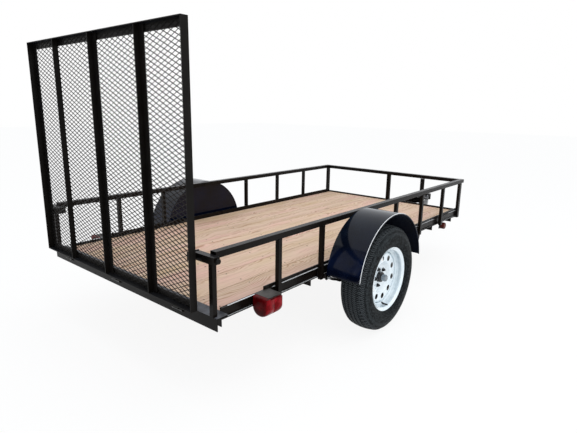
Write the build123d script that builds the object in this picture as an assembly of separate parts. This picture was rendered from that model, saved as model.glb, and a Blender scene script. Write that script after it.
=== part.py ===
from build123d import *
import math
import os

# Utility trailer, single axle, 5 x 10 foot bed with an open rail and a mesh ramp gate.
# Millimetres. +X points forward to the coupler, +Y to the left, +Z up.
# The origin is on the ground under the middle of the whole trailer.

# ---------------------------------------------------------------- driving dimensions
BED_LENGTH = 3088.0            # rear end of the top rail to the front face, round a 3048 deck
BED_WIDTH = 1582.0             # outside of one top rail to the outside of the other
RAIL_TOP = 772.0               # height of the top rail above the ground
FRAME_BOTTOM = 420.0           # underside of the side frames
FRAME_HEIGHT = 58.0
COUPLER_REACH = 1120.0         # front face of the bed to the tip of the coupler
GATE_HEIGHT = 1256.0
GATE_WIDTH = 1454.0
GATE_BACK = 101.0              # rear face of the gate behind the bed's rear end
GATE_DEPTH = 38.0              # leg of the gate's angle
TYRE_DIAMETER = 688.0
TYRE_WIDTH = 188.0
WHEEL_FROM_REAR = 1256.0       # wheel centre ahead of the bed's rear end
WHEEL_GAP = 45.0               # between the rail's outer face and the tyre's inner wall

STEEL = 4.0                    # wall of angles and formed channels
SHEET = 2.5                    # wall of the fenders
POST = 25.0                    # square posts
RAIL_WIDE = 40.0
RAIL_TALL = 32.0
TUBE_WALL = 3.0
DECK_THICK = 38.0
DECK_BOARDS = 8
BOARD_GAP = 4.0
BOARD_END = 2.0                # gap at the boards' ends
SEAT = 0.3                     # running gap between a turning piece and its seat

# ---------------------------------------------------------------- places worked out
TOTAL_LENGTH = GATE_BACK + BED_LENGTH + COUPLER_REACH
REAR = -TOTAL_LENGTH / 2 + GATE_BACK      # rear end of the bed
FRONT = REAR + BED_LENGTH
NOSE = FRONT + COUPLER_REACH
HALF = BED_WIDTH / 2
FRAME_TOP = FRAME_BOTTOM + FRAME_HEIGHT
RAIL_BOTTOM = RAIL_TOP - RAIL_TALL
AXLE_X = REAR + WHEEL_FROM_REAR
AXLE_Z = TYRE_DIAMETER / 2
TRACK = BED_WIDTH + TYRE_WIDTH + 2 * WHEEL_GAP
DECK_BOTTOM = FRAME_BOTTOM + STEEL
DECK_TOP = DECK_BOTTOM + DECK_THICK
SIDES = {"left": 1, "right": -1}


def block(x, y, z):
    """A box between three (low, high) pairs."""
    low = (min(x), min(y), min(z))
    size = (abs(x[1] - x[0]), abs(y[1] - y[0]), abs(z[1] - z[0]))
    return Pos(*low) * Box(*size, align=(Align.MIN, Align.MIN, Align.MIN))


def prism_x(outline, x0, x1):
    """An outline of (y, z) points carried from x0 to x1."""
    face = make_face(Polyline(*[(x0, y, z) for y, z in outline], close=True))
    return extrude(face, amount=x1 - x0, dir=(1, 0, 0))


def prism_y(outline, y0, y1):
    """An outline of (x, z) points carried from y0 to y1."""
    face = make_face(Polyline(*[(x, y0, z) for x, z in outline], close=True))
    return extrude(face, amount=y1 - y0, dir=(0, 1, 0))


def rod_y(radius, x, y, z):
    """A round bar along Y between the pair y."""
    length = abs(y[1] - y[0])
    return Pos(x, (y[0] + y[1]) / 2, z) * Rot(90, 0, 0) * Cylinder(radius, length)


def rod_z(radius, x, y, z):
    """A round bar along Z between the pair z."""
    length = abs(z[1] - z[0])
    return Pos(x, y, (z[0] + z[1]) / 2) * Cylinder(radius, length)


def mirrored(solid, side):
    """The left piece as it is, or its mirror image for the right."""
    return solid if side > 0 else mirror(solid, about=Plane.XZ)


def both(solid):
    """A left piece and its mirror image, as two solids."""
    return [solid, mirror(solid, about=Plane.XZ)]


PARTS = {}


def keep(name, *solids):
    """Files one or more solids under a node's name."""
    found = []
    for item in solids:
        found.extend(item if isinstance(item, list) else [item])
    PARTS[name] = found


# ---------------------------------------------------------------- main frame
FLANGE = 35.0                  # flat leg of the front member
LIP = 12.0                     # outer lips of the side frame, in to the posts
WEB_OUTER = HALF - POST - LIP  # outside of the side frame's web
WEB_INNER = WEB_OUTER - STEEL
CORNER_POST = 38.0             # along the rail; as wide as the other posts
SIDE_FRONT = FRONT - CORNER_POST
POST_DROP = 10.0               # the side posts' ends below the frame
CORNER_DROP = 16.0             # the front corner posts' ends below the frame
GUSSET = 230.0                 # length of the gusset behind a front corner post
SILL_REAR = REAR - 20.0        # rear face of the sill
SILL_DEEP = 64.0
SILL_FLAT = 70.0
SILL_HALF = HALF + 20.0
SILL_FRONT = SILL_REAR + SILL_FLAT


def side_frame():
    """Formed side frame: a web, a shallow lip out at the top and bottom, a gusset in front."""
    outline = [
        (WEB_INNER, FRAME_BOTTOM), (WEB_OUTER + LIP, FRAME_BOTTOM),
        (WEB_OUTER + LIP, FRAME_BOTTOM + STEEL), (WEB_OUTER, FRAME_BOTTOM + STEEL),
        (WEB_OUTER, FRAME_TOP - STEEL), (WEB_OUTER + LIP, FRAME_TOP - STEEL),
        (WEB_OUTER + LIP, FRAME_TOP), (WEB_INNER, FRAME_TOP),
    ]
    gusset = prism_y([(SIDE_FRONT - GUSSET, FRAME_BOTTOM), (SIDE_FRONT, FRAME_BOTTOM - CORNER_DROP),
                      (SIDE_FRONT, FRAME_BOTTOM)], WEB_INNER, WEB_OUTER)
    return prism_x(outline, SILL_FRONT, SIDE_FRONT) + gusset


def rear_sill():
    """Heavy angle across the rear: a flat leg level with the deck, a leg down behind."""
    top = DECK_TOP
    outline = [
        (SILL_REAR, top - SILL_DEEP), (SILL_REAR + STEEL, top - SILL_DEEP),
        (SILL_REAR + STEEL, top - STEEL), (SILL_FRONT, top - STEEL),
        (SILL_FRONT, top), (SILL_REAR, top),
    ]
    return prism_y(outline, -SILL_HALF, SILL_HALF)


def front_member():
    """Front cross member, an angle whose flat leg carries the boards' ends."""
    outline = [
        (FRONT - STEEL, FRAME_BOTTOM), (FRONT, FRAME_BOTTOM),
        (FRONT, FRAME_TOP), (FRONT - STEEL, FRAME_TOP),
    ]
    wall = prism_y(outline, -WEB_INNER, WEB_INNER)
    ledge = block((FRONT - FLANGE, FRONT - STEEL), (-WEB_INNER, WEB_INNER), (FRAME_BOTTOM, DECK_BOTTOM))
    return wall + ledge


CROSS_LEG = 50.0
CROSS_AT = [58.0, 380.0, 760.0, 1140.0, 1640.0, 2080.0, 2520.0, 2960.0]   # from the bed's rear


def crossmembers():
    """Angles across the bed: a flat leg under the boards, a leg down."""
    found = []
    for place in CROSS_AT:
        x = REAR + place
        outline = [
            (x, DECK_BOTTOM - CROSS_LEG), (x + STEEL, DECK_BOTTOM - CROSS_LEG),
            (x + STEEL, DECK_BOTTOM - STEEL), (x + CROSS_LEG, DECK_BOTTOM - STEEL),
            (x + CROSS_LEG, DECK_BOTTOM), (x, DECK_BOTTOM),
        ]
        found.append(prism_y(outline, -WEB_INNER, WEB_INNER))
    return found


def deck_boards():
    """Lengthwise planks that lie on the crossmembers between the side frames."""
    inside = 2 * WEB_INNER - 2 * BOARD_GAP
    pitch = (inside + BOARD_GAP) / DECK_BOARDS
    found = []
    for number in range(DECK_BOARDS):
        y0 = -inside / 2 + number * pitch
        found.append(block((SILL_FRONT + BOARD_END, FRONT - STEEL - BOARD_END),
                           (y0, y0 + pitch - BOARD_GAP), (DECK_BOTTOM, DECK_TOP)))
    return found


STRIP_FROM = 350.0             # rear end of the side strips, from the bed's rear end
STRIP_WIDE = 6.0
STRIP_TALL = 18.0


def side_strip():
    """Flat strip on edge along the top of the side frame."""
    return block((REAR + STRIP_FROM, SIDE_FRONT), (WEB_INNER, WEB_INNER + STRIP_WIDE),
                 (FRAME_TOP, FRAME_TOP + STRIP_TALL))


keep("rear_sill", rear_sill())
keep("side_strips", both(side_strip()))
keep("front_member", front_member())
keep("crossmembers", crossmembers())
keep("deck_boards", deck_boards())
for name, side in SIDES.items():
    keep(f"side_frame_{name}", mirrored(side_frame(), side))

# ---------------------------------------------------------------- rails and posts
SIDE_POSTS = [438.0, 821.0, 1745.0, 2190.0, 2622.0]    # middles, from the bed's rear end


def tube(wide, tall, length, cap=0.0):
    """A rectangular tube along X from the origin, with a cap of that thickness at its far end."""
    outer = extrude(RectangleRounded(wide, tall, TUBE_WALL), amount=length)
    inner = extrude(Rectangle(wide - 2 * TUBE_WALL, tall - 2 * TUBE_WALL), amount=length - cap)
    return Plane.YZ * (outer - inner)


def side_rail():
    """Top rail of one side, open at the rear and capped at the front corner."""
    z = RAIL_TOP - RAIL_TALL / 2
    return Pos(REAR, HALF - RAIL_WIDE / 2, z) * tube(RAIL_WIDE, RAIL_TALL, BED_LENGTH, TUBE_WALL)


def front_rail():
    """Top rail across the front, between the two side rails."""
    z = RAIL_TOP - RAIL_TALL / 2
    span = BED_WIDTH - 2 * RAIL_WIDE
    return Pos(FRONT - RAIL_WIDE / 2, -span / 2, z) * Rot(0, 0, 90) * tube(RAIL_WIDE, RAIL_TALL, span)


def side_posts():
    """Posts that stand outside the side frame's web and hold up the rail."""
    found = []
    for place in SIDE_POSTS:
        x = REAR + place
        found.append(block((x - POST / 2, x + POST / 2), (HALF - POST, HALF),
                           (FRAME_BOTTOM - POST_DROP, RAIL_BOTTOM)))
    found.append(block((SIDE_FRONT, FRONT), (WEB_INNER, WEB_INNER + POST),
                       (FRAME_BOTTOM - CORNER_DROP, RAIL_BOTTOM)))
    found.append(block((REAR - POST, REAR), (HALF - POST, HALF), (DECK_TOP, LATCH_BOTTOM)))
    return found


LATCH_TUBE = 35.0
LATCH_BOTTOM = 722.0
LATCH_INNER = 680.0
LATCH_OUTER = 815.0
LATCH_Z = LATCH_BOTTOM + LATCH_TUBE / 2
LATCH_X = REAR - LATCH_TUBE / 2
PIN_RADIUS = 8.0
PIN_HEAD = 12.0
PIN_OUT = 14.0                 # the pin's head beyond the latch tube


def latch_tube():
    """Square tube across the rear end of a rail, which guides the gate's latch pin."""
    body = block((REAR - LATCH_TUBE, REAR), (LATCH_INNER, LATCH_OUTER),
                 (LATCH_BOTTOM, LATCH_BOTTOM + LATCH_TUBE))
    return body - rod_y(PIN_RADIUS + SEAT, LATCH_X, (LATCH_INNER, LATCH_OUTER), LATCH_Z)


def latch_pin():
    """Latch pin with a round head at its outer end."""
    pin = rod_y(PIN_RADIUS, LATCH_X, (LATCH_INNER - 2.0, LATCH_OUTER + PIN_OUT), LATCH_Z)
    return pin + rod_y(PIN_HEAD, LATCH_X, (LATCH_OUTER + PIN_OUT - 8.0, LATCH_OUTER + PIN_OUT), LATCH_Z)


for name, side in SIDES.items():
    keep(f"top_rail_{name}", mirrored(side_rail(), side))
    keep(f"posts_{name}", [mirrored(post, side) for post in side_posts()])
keep("top_rail_front", front_rail())
keep("post_front", block((FRONT, FRONT + POST), (-CORNER_POST / 2, CORNER_POST / 2),
                         (FRAME_BOTTOM, RAIL_TOP - 6.0)))
keep("latch_tubes", both(latch_tube()))
keep("latch_pins", both(latch_pin()))

# ---------------------------------------------------------------- tongue, coupler and jack
TONGUE_HALF_ANGLE = 21.0
TONGUE_TALL = 76.0
TONGUE_WIDE = 38.0
TONGUE_TOP = DECK_BOTTOM - CROSS_LEG       # the legs run under the crossmembers
TONGUE_PAST = 120.0            # the legs' ends behind the last crossmember but one
BALL_FROM_NOSE = 62.0
BALL_X = NOSE - BALL_FROM_NOSE             # the middle lines of the legs meet there
LEG_END = 60.0                 # the legs' front ends behind the ball
TONGUE_FRONT = BALL_X - LEG_END
TONGUE_REAR = REAR + CROSS_AT[-2] - TONGUE_PAST
SLOPE = math.tan(math.radians(TONGUE_HALF_ANGLE))
SPREAD = TONGUE_WIDE / 2 / math.cos(math.radians(TONGUE_HALF_ANGLE))     # half a leg, along Y


def tongue_leg():
    """One channel of the A-frame, its open side facing in, from crossmembers to coupler."""
    def outline(outer, inner, z0, z1):
        """A bar that follows the slanted line between two offsets from it."""
        def corner(x, offset):
            return (x, (BALL_X - x) * SLOPE + offset, z0)
        face = make_face(Polyline(corner(TONGUE_REAR, inner), corner(TONGUE_FRONT, inner),
                                  corner(TONGUE_FRONT, outer), corner(TONGUE_REAR, outer),
                                  close=True))
        return extrude(face, amount=z1 - z0, dir=(0, 0, 1))

    body = outline(SPREAD, -SPREAD, TONGUE_TOP - TONGUE_TALL, TONGUE_TOP)
    wall = STEEL / math.cos(math.radians(TONGUE_HALF_ANGLE))
    hollow = outline(SPREAD - wall, -SPREAD - 1.0,
                     TONGUE_TOP - TONGUE_TALL + STEEL, TONGUE_TOP - STEEL)
    return body - hollow


JACK_BEHIND = 180.0            # the jack's axis behind the ball
JACK_X = BALL_X - JACK_BEHIND
JACK_RADIUS = 25.0
JACK_WALL = 3.0
JACK_TOP = 600.0
JACK_LOW = 240.0
SLIDE_GAP = 0.5                # between the sliding leg and the outer tube
LEG_RADIUS = JACK_RADIUS - JACK_WALL - SLIDE_GAP
PLATE = 6.0
FOOT_HALF = 60.0
COLLAR = 16.0                  # the mounting collar beyond the jack's tube
LEG_INSIDE = 130.0             # the lowered leg's length inside the outer tube


def tongue_plate():
    """Plate across the two channels, with the hole that takes the jack's tube."""
    corners = []
    for x in (JACK_X - 70.0, JACK_X + JACK_RADIUS + COLLAR + 4.0):
        corners.append((x, (BALL_X - x) * SLOPE + SPREAD))
    (xa, ya), (xb, yb) = corners
    face = make_face(Polyline((xa, -ya, TONGUE_TOP), (xb, -yb, TONGUE_TOP),
                              (xb, yb, TONGUE_TOP), (xa, ya, TONGUE_TOP), close=True))
    plate = extrude(face, amount=PLATE, dir=(0, 0, 1))
    return plate - rod_z(JACK_RADIUS, JACK_X, 0, (TONGUE_TOP - 1, TONGUE_TOP + PLATE + 1))


def jack_body():
    """Outer tube of the jack, its cap and its mounting collar."""
    shell = rod_z(JACK_RADIUS, JACK_X, 0, (JACK_LOW, JACK_TOP))
    shell -= rod_z(JACK_RADIUS - JACK_WALL, JACK_X, 0, (JACK_LOW, JACK_TOP - JACK_WALL))
    collar = rod_z(JACK_RADIUS + COLLAR, JACK_X, 0, (TONGUE_TOP + PLATE, TONGUE_TOP + PLATE + 8.0))
    collar -= rod_z(JACK_RADIUS - 1.0, JACK_X, 0, (TONGUE_TOP, TONGUE_TOP + PLATE + 9.0))
    return shell + collar


CRANK_Z = JACK_TOP - 40.0
CRANK_OUT = 45.0               # length of the crank's shaft
CRANK_ARM = 120.0
CRANK_TURN = -66.0             # the crank's side, turned from +Y towards the front


def jack_crank():
    """Side crank: a shaft out of the tube, an arm down and a grip."""
    y0 = JACK_RADIUS
    shaft = rod_y(7.0, 0, (y0, y0 + CRANK_OUT), CRANK_Z)
    arm = block((-8.0, 8.0), (y0 + CRANK_OUT - 8.0, y0 + CRANK_OUT), (CRANK_Z - CRANK_ARM, CRANK_Z))
    grip = rod_y(9.0, 0, (y0 + CRANK_OUT - 8.0, y0 + CRANK_OUT + 75.0), CRANK_Z - CRANK_ARM)
    return Pos(JACK_X, 0, 0) * Rot(0, 0, CRANK_TURN) * (shaft + arm + grip)


def jack_leg():
    """Inner tube that slides in the jack's outer tube."""
    span = (PLATE, JACK_LOW + LEG_INSIDE)
    return rod_z(LEG_RADIUS, JACK_X, 0, span) - rod_z(LEG_RADIUS - JACK_WALL, JACK_X, 0, span)


def jack_foot():
    """Square foot plate with rounded corners."""
    face = RectangleRounded(2 * FOOT_HALF, 2 * FOOT_HALF, 15.0)
    return Pos(JACK_X, 0, 0) * extrude(face, amount=PLATE)


for name, side in SIDES.items():
    keep(f"tongue_leg_{name}", mirrored(tongue_leg(), side))
keep("tongue_plate", tongue_plate())
keep("jack_body", jack_body())
keep("jack_crank", jack_crank())
keep("jack_leg", jack_leg())
keep("jack_foot", jack_foot())

BALL_RADIUS = 25.6             # socket for a 50.8 mm ball
BALL_Z = TONGUE_TOP - 30.0
COUPLER_WALL = 6.0
HOOD = 70.0                    # the hood's length over the channels' ends


def coupler():
    """Pressed coupler: a tapered hood over the channels' ends and a ball socket."""
    rear = TONGUE_FRONT - HOOD
    rear_half = (BALL_X - rear) * SLOPE + SPREAD
    front_half = (BALL_X - TONGUE_FRONT) * SLOPE + SPREAD
    top = TONGUE_TOP + COUPLER_WALL
    face = make_face(Polyline((rear, -rear_half, TONGUE_TOP), (TONGUE_FRONT, -front_half, TONGUE_TOP),
                              (BALL_X, -38.0, TONGUE_TOP), (BALL_X, 38.0, TONGUE_TOP),
                              (TONGUE_FRONT, front_half, TONGUE_TOP), (rear, rear_half, TONGUE_TOP),
                              close=True))
    hood = extrude(face, amount=COUPLER_WALL, dir=(0, 0, 1))
    neck = block((TONGUE_FRONT + 1.0, BALL_X), (-32.0, 32.0), (TONGUE_TOP - 46.0, TONGUE_TOP))
    bowl = rod_z(BALL_FROM_NOSE - 20.0, BALL_X, 0, (BALL_Z - 16.0, top + 14.0))
    tip = rod_z(12.0, NOSE - 12.0, 0, (BALL_Z - 4.0, BALL_Z + 12.0))
    tip += block((BALL_X, NOSE - 12.0), (-12.0, 12.0), (BALL_Z - 4.0, BALL_Z + 12.0))
    body = hood + neck + bowl + tip
    body -= rod_z(BALL_RADIUS, BALL_X, 0, (BALL_Z - 60.0, BALL_Z))
    body -= Pos(BALL_X, 0, BALL_Z) * Sphere(BALL_RADIUS)
    return body


def coupler_latch():
    """Lever on top of the coupler that locks the ball."""
    top = TONGUE_TOP + COUPLER_WALL + 14.0
    base = block((BALL_X - 30.0, BALL_X + 10.0), (-9.0, 9.0), (top, top + 22.0))
    lever = block((BALL_X - 130.0, BALL_X - 20.0), (-12.0, 12.0), (top + 14.0, top + 20.0))
    return base + lever


keep("coupler", coupler())
keep("coupler_latch", coupler_latch())

# ---------------------------------------------------------------- running gear
AXLE_RADIUS = 30.0
SPRING_Y = WEB_OUTER - 32.0
SPRING_WIDE = 45.0
LEAF = 7.0
LEAVES = [320.0, 250.0, 170.0, 100.0]      # half length of each leaf, top one first
EYE_HEIGHT = 76.0                          # eyes above the clamped middle of the top leaf
EYE_RADIUS = 17.0
EYE_PIN = 7.0
BOLT = 10.0                    # thickness of the U-bolts
SPRING_TOP = AXLE_Z - AXLE_RADIUS - 6.0    # top of the leaves at the axle
SPINDLE_RADIUS = 19.0
HUB_IN = 75.0                  # the hub's inner end, from the middle of the wheel
HUB_OUT = 62.0                 # the spindle's room inside the hub, outward from there


def axle():
    """Straight tube with a turned spindle at each end."""
    beam_half = TRACK / 2 - HUB_IN - 10.0
    spindle_half = TRACK / 2 + HUB_OUT - 12.0
    beam = rod_y(AXLE_RADIUS, AXLE_X, (-beam_half, beam_half), AXLE_Z)
    return beam + rod_y(SPINDLE_RADIUS, AXLE_X, (-spindle_half, spindle_half), AXLE_Z)


ARCH_RADIUS = (LEAVES[0] ** 2 + EYE_HEIGHT ** 2) / (2 * EYE_HEIGHT)
ARCH_Z = SPRING_TOP + ARCH_RADIUS


def leaf_spring():
    """Stack of curved leaves under the axle, with an eye at each end of the top leaf."""
    half = LEAVES[0]
    y0 = SPRING_Y - SPRING_WIDE / 2
    stack = None
    for number, reach in enumerate(LEAVES):
        inner = ARCH_RADIUS + number * LEAF
        outer = inner + LEAF
        turn = math.asin(reach / ARCH_RADIUS)

        def point(r, angle):
            return (AXLE_X + r * math.sin(angle), y0, ARCH_Z - r * math.cos(angle))
        edge = Wire([
            ThreePointArc(point(inner, -turn), point(inner, 0), point(inner, turn)),
            Line(point(inner, turn), point(outer, turn)),
            ThreePointArc(point(outer, turn), point(outer, 0), point(outer, -turn)),
            Line(point(outer, -turn), point(inner, -turn)),
        ])
        leaf = extrude(make_face(edge), amount=SPRING_WIDE, dir=(0, 1, 0))
        stack = leaf if stack is None else stack + leaf
    for end in (-1, 1):
        eye = rod_y(EYE_RADIUS, AXLE_X + end * half, (y0, y0 + SPRING_WIDE), SPRING_TOP + EYE_HEIGHT)
        stack += eye
    for end in (-1, 1):
        stack -= rod_y(EYE_PIN, AXLE_X + end * half, (y0 - 1, y0 + SPRING_WIDE + 1),
                       SPRING_TOP + EYE_HEIGHT)
    return stack


def spring_hanger(end):
    """Two ears under the side frame and the pin through a spring's eye."""
    x = AXLE_X + end * LEAVES[0]
    z = SPRING_TOP + EYE_HEIGHT
    ears = []
    for y0 in (SPRING_Y - SPRING_WIDE / 2 - 7.0, SPRING_Y + SPRING_WIDE / 2 + 1.0):
        outline = [(x - 34.0, FRAME_BOTTOM), (x - 16.0, z - 18.0), (x + 16.0, z - 18.0),
                   (x + 34.0, FRAME_BOTTOM)]
        ears.append(prism_y(outline, y0, y0 + 6.0))
    top = block((x - 34.0, x + 34.0), (SPRING_Y - SPRING_WIDE / 2 - 7.0, WEB_OUTER),
                (FRAME_BOTTOM - 5.0, FRAME_BOTTOM))
    pin = rod_y(EYE_PIN, x, (SPRING_Y - SPRING_WIDE / 2 - 14.0, SPRING_Y + SPRING_WIDE / 2 + 14.0), z)
    return ears[0] + ears[1] + top + pin


def axle_clamp():
    """Seat on the axle, plate under the leaves and two square U-bolts round the tube."""
    wide = SPRING_WIDE + 24.0
    low = SPRING_TOP - LEAF * len(LEAVES)
    plate = block((AXLE_X - 55.0, AXLE_X + 55.0), (SPRING_Y - wide / 2, SPRING_Y + wide / 2),
                  (low - 8.0, low))
    seat = block((AXLE_X - 35.0, AXLE_X + 35.0), (SPRING_Y - SPRING_WIDE / 2, SPRING_Y + SPRING_WIDE / 2),
                 (SPRING_TOP - 2.0, AXLE_Z - 12.0))
    seat -= rod_y(AXLE_RADIUS, AXLE_X, (SPRING_Y - 40.0, SPRING_Y + 40.0), AXLE_Z)
    seat = seat & rod_y(ARCH_RADIUS, AXLE_X, (SPRING_Y - 40.0, SPRING_Y + 40.0), ARCH_Z)
    bolts = None
    for y in (SPRING_Y - SPRING_WIDE / 2 - 6.0, SPRING_Y + SPRING_WIDE / 2 + 6.0):
        width = (y - BOLT / 2, y + BOLT / 2)
        arch = rod_y(AXLE_RADIUS + BOLT, AXLE_X, width, AXLE_Z) - rod_y(AXLE_RADIUS, AXLE_X, width, AXLE_Z)
        arch -= block((AXLE_X - AXLE_RADIUS - BOLT, AXLE_X + AXLE_RADIUS + BOLT), width,
                      (AXLE_Z - AXLE_RADIUS - BOLT, AXLE_Z))
        for end in (-1, 1):
            arch += block((AXLE_X + end * AXLE_RADIUS, AXLE_X + end * (AXLE_RADIUS + BOLT)), width,
                          (low - 18.0, AXLE_Z))
        bolts = arch if bolts is None else bolts + arch
    return [plate + bolts, seat]


keep("axle", axle())
for name, side in SIDES.items():
    keep(f"leaf_spring_{name}", mirrored(leaf_spring(), side))
    keep(f"spring_hangers_{name}", [mirrored(spring_hanger(end), side) for end in (-1, 1)])
    keep(f"axle_clamp_{name}", [mirrored(piece, side) for piece in axle_clamp()])

# ---------------------------------------------------------------- wheels
RIM_RADIUS = 209.0             # outside of the flange
RIM_HALF = 78.0
WHEEL_Y = TRACK / 2
HUB_BORE = SPINDLE_RADIUS + SEAT
BEAD_SEAT = 190.5              # radius of the rim under the tyre's beads
WELL = 173.0                   # radius of the rim's drop centre
DISC_WALL = 4.0
DISC_HOLES = 12
DISC_HOLE = 12.0
DISC_HOLE_AT = 146.0
STUDS = 5
STUD = 6.0
STUD_CIRCLE = 114.3


def spot(r, t):
    """A point in the wheel's section: its radius, and its offset outward from the middle."""
    return (AXLE_X + r, WHEEL_Y + t, AXLE_Z)


def turned(points):
    """A ring of (radius, offset outward) points turned about the wheel's axis."""
    section = make_face(Polyline(*[spot(r, t) for r, t in points], close=True))
    return revolve(section, Axis((AXLE_X, 0, AXLE_Z), (0, 1, 0)), 360)


def tyre():
    """Tyre on its bead seats: a crowned tread, sloped shoulders, bulged walls and beads."""
    crown = TYRE_DIAMETER / 2
    wall = TYRE_WIDTH / 2
    half = [(BEAD_SEAT + SEAT, 65.5), (RIM_RADIUS + 1.0, 72.3), (RIM_RADIUS + 4.0, 79.0),
            (crown - 82.0, wall), (crown - 30.0, wall - 7.0), (crown - 6.0, wall - 26.0), (crown, 12.0)]
    return turned(half + [(r, -t) for r, t in reversed(half)])


def rim():
    """Steel wheel: drop-centre rim and a dished disc with a ring of holes."""
    wall = 3.0
    outside = [(RIM_RADIUS, RIM_HALF), (RIM_RADIUS, 73.0), (BEAD_SEAT, 67.0), (BEAD_SEAT, 45.0),
               (WELL, 32.0), (WELL, -2.0), (BEAD_SEAT, -24.0), (BEAD_SEAT, -67.0),
               (RIM_RADIUS, -73.0), (RIM_RADIUS, -RIM_HALF)]
    inside = [(RIM_RADIUS - wall, -RIM_HALF), (BEAD_SEAT - wall, -70.0), (BEAD_SEAT - wall, -23.0),
              (WELL - wall, -0.5), (WELL - wall, 30.5), (BEAD_SEAT - wall, 46.0),
              (BEAD_SEAT - wall, 70.0), (RIM_RADIUS - wall, RIM_HALF)]
    disc = turned([(36.0, DISC_WALL), (80.0, DISC_WALL), (100.0, 22.0), (162.0, 24.0), (WELL - 1.5, 14.0),
                   (WELL - 1.5, 10.0), (162.0, 20.0), (102.0, 18.0), (84.0, 0.0), (36.0, 0.0)])
    cuts = []
    for number in range(DISC_HOLES):
        angle = math.radians((number + 0.5) * 360.0 / DISC_HOLES)
        x = AXLE_X + DISC_HOLE_AT * math.sin(angle)
        z = AXLE_Z + DISC_HOLE_AT * math.cos(angle)
        cuts.append(rod_y(DISC_HOLE, x, (WHEEL_Y, WHEEL_Y + 40.0), z))
    for x, z in stud_places():
        cuts.append(rod_y(STUD + SEAT, x, (WHEEL_Y - 10.0, WHEEL_Y + 10.0), z))
    return turned(outside + inside) + (disc - cuts)


def stud_places():
    """Middles of the wheel studs, as (x, z)."""
    found = []
    for number in range(STUDS):
        angle = math.radians(number * 360.0 / STUDS)
        found.append((AXLE_X + STUD_CIRCLE / 2 * math.sin(angle),
                      AXLE_Z + STUD_CIRCLE / 2 * math.cos(angle)))
    return found


def hub():
    """Hub with a flange, five studs with nuts and a grease cap."""
    body = turned([(HUB_BORE, -HUB_IN), (42.0, -HUB_IN), (42.0, -24.0), (72.0, -16.0), (72.0, 0.0),
                   (34.0, 0.0), (34.0, 40.0), (29.0, 46.0), (29.0, 80.0), (22.0, 86.0), (0.0, 86.0),
                   (0.0, HUB_OUT), (HUB_BORE, HUB_OUT)])
    for x, z in stud_places():
        nut = extrude(Plane(origin=(x, WHEEL_Y + DISC_WALL, z), z_dir=(0, 1, 0)) *
                      RegularPolygon(11.0, 6), amount=16.0)
        stud = rod_y(STUD, x, (WHEEL_Y - DISC_WALL, WHEEL_Y + DISC_WALL + 22.0), z)
        body += nut + stud
    return body


for name, side in SIDES.items():
    keep(f"tyre_{name}", mirrored(tyre(), side))
    keep(f"rim_{name}", mirrored(rim(), side))
    keep(f"hub_{name}", mirrored(hub(), side))

# ---------------------------------------------------------------- fenders
FENDER_RADIUS = 398.0
FENDER_WIDE = 235.0
FENDER_Z = AXLE_Z + 33.0
FENDER_ENDS = 426.0            # height of the fender's two ends
BEAD = 5.0


def fender():
    """Rolled fender: a half-round strip, a back plate and a rolled outer bead."""
    def disc(radius, y0, y1):
        return rod_y(radius, AXLE_X, (y0, y1), FENDER_Z)
    ring = disc(FENDER_RADIUS, HALF, HALF + FENDER_WIDE - BEAD)
    ring -= disc(FENDER_RADIUS - SHEET, HALF + SHEET, HALF + FENDER_WIDE)
    reach = FENDER_RADIUS + BEAD
    below = block((AXLE_X - reach, AXLE_X + reach), (HALF, HALF + FENDER_WIDE),
                  (FENDER_Z - reach, FENDER_ENDS))
    bead = Pos(AXLE_X, HALF + FENDER_WIDE - BEAD, FENDER_Z) * Rot(90, 0, 0) * Torus(
        FENDER_RADIUS - BEAD, BEAD)
    return (ring + bead) - below


for name, side in SIDES.items():
    keep(f"fender_{name}", mirrored(fender(), side))

# ---------------------------------------------------------------- lamps
LAMP_AT = 276.0                # rear face of the tail lamps, from the bed's rear end
LAMP_X = REAR + LAMP_AT
LAMP_LONG = 98.0
LAMP_WIDE = 90.0
LAMP_TALL = 108.0
LAMP_Z = 374.0
LAMP_CAP = 8.0                 # plate over the lens
LAMP_BACK = 5.0                # plate between the lens and the side frame
LAMP_ROUND = 34.0              # lower corners of the lens
LENS_EDGE = 7.0
LAMP_Y = WEB_OUTER + LIP


def tail_lamp_housing():
    """Plate over the lens and a plate behind it, against the side frame."""
    top = LAMP_Z + LAMP_TALL
    cap = block((LAMP_X, LAMP_X + LAMP_LONG), (LAMP_Y, LAMP_Y + LAMP_WIDE), (top - LAMP_CAP, top))
    corner = cap.edges().filter_by(Axis.Z).sort_by(Axis.Y)[-2:]
    back = block((LAMP_X, LAMP_X + LAMP_LONG), (LAMP_Y, LAMP_Y + LAMP_BACK),
                 (LAMP_Z + LAMP_ROUND, top - LAMP_CAP))
    return fillet(corner, LENS_EDGE) + back


def tail_lamp_lens():
    """Red lens that wraps the lamp's rear and side, round at its lower corners."""
    lens = block((LAMP_X, LAMP_X + LAMP_LONG), (LAMP_Y + LAMP_BACK, LAMP_Y + LAMP_WIDE),
                 (LAMP_Z, LAMP_Z + LAMP_TALL - LAMP_CAP))
    lens = fillet(lens.edges().filter_by(Axis.X).sort_by(Axis.Z)[:2], LAMP_ROUND)
    sides = lens.faces().sort_by(Axis.X)
    top = lens.faces().sort_by(Axis.Z)[-1]
    rim = [edge for face in (sides[0], sides[-1]) for edge in face.edges() if edge not in top.edges()]
    return fillet(rim, LENS_EDGE)


MARKER_AT = 2695.0             # middle of the side markers, from the bed's rear end
MARKER_X = REAR + MARKER_AT
MARKER_RADIUS = 29.0
MARKER_DEEP = 45.0
MARKER_Z = FRAME_BOTTOM - MARKER_RADIUS - 1.0
MARKER_DOME = 8.0


def marker_lamp():
    """Small round side marker under the side frame, on its bracket."""
    lamp = rod_y(MARKER_RADIUS, MARKER_X, (WEB_OUTER, WEB_OUTER + MARKER_DEEP), MARKER_Z)
    return fillet(lamp.faces().sort_by(Axis.Y)[-1].edges(), MARKER_DOME)


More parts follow.
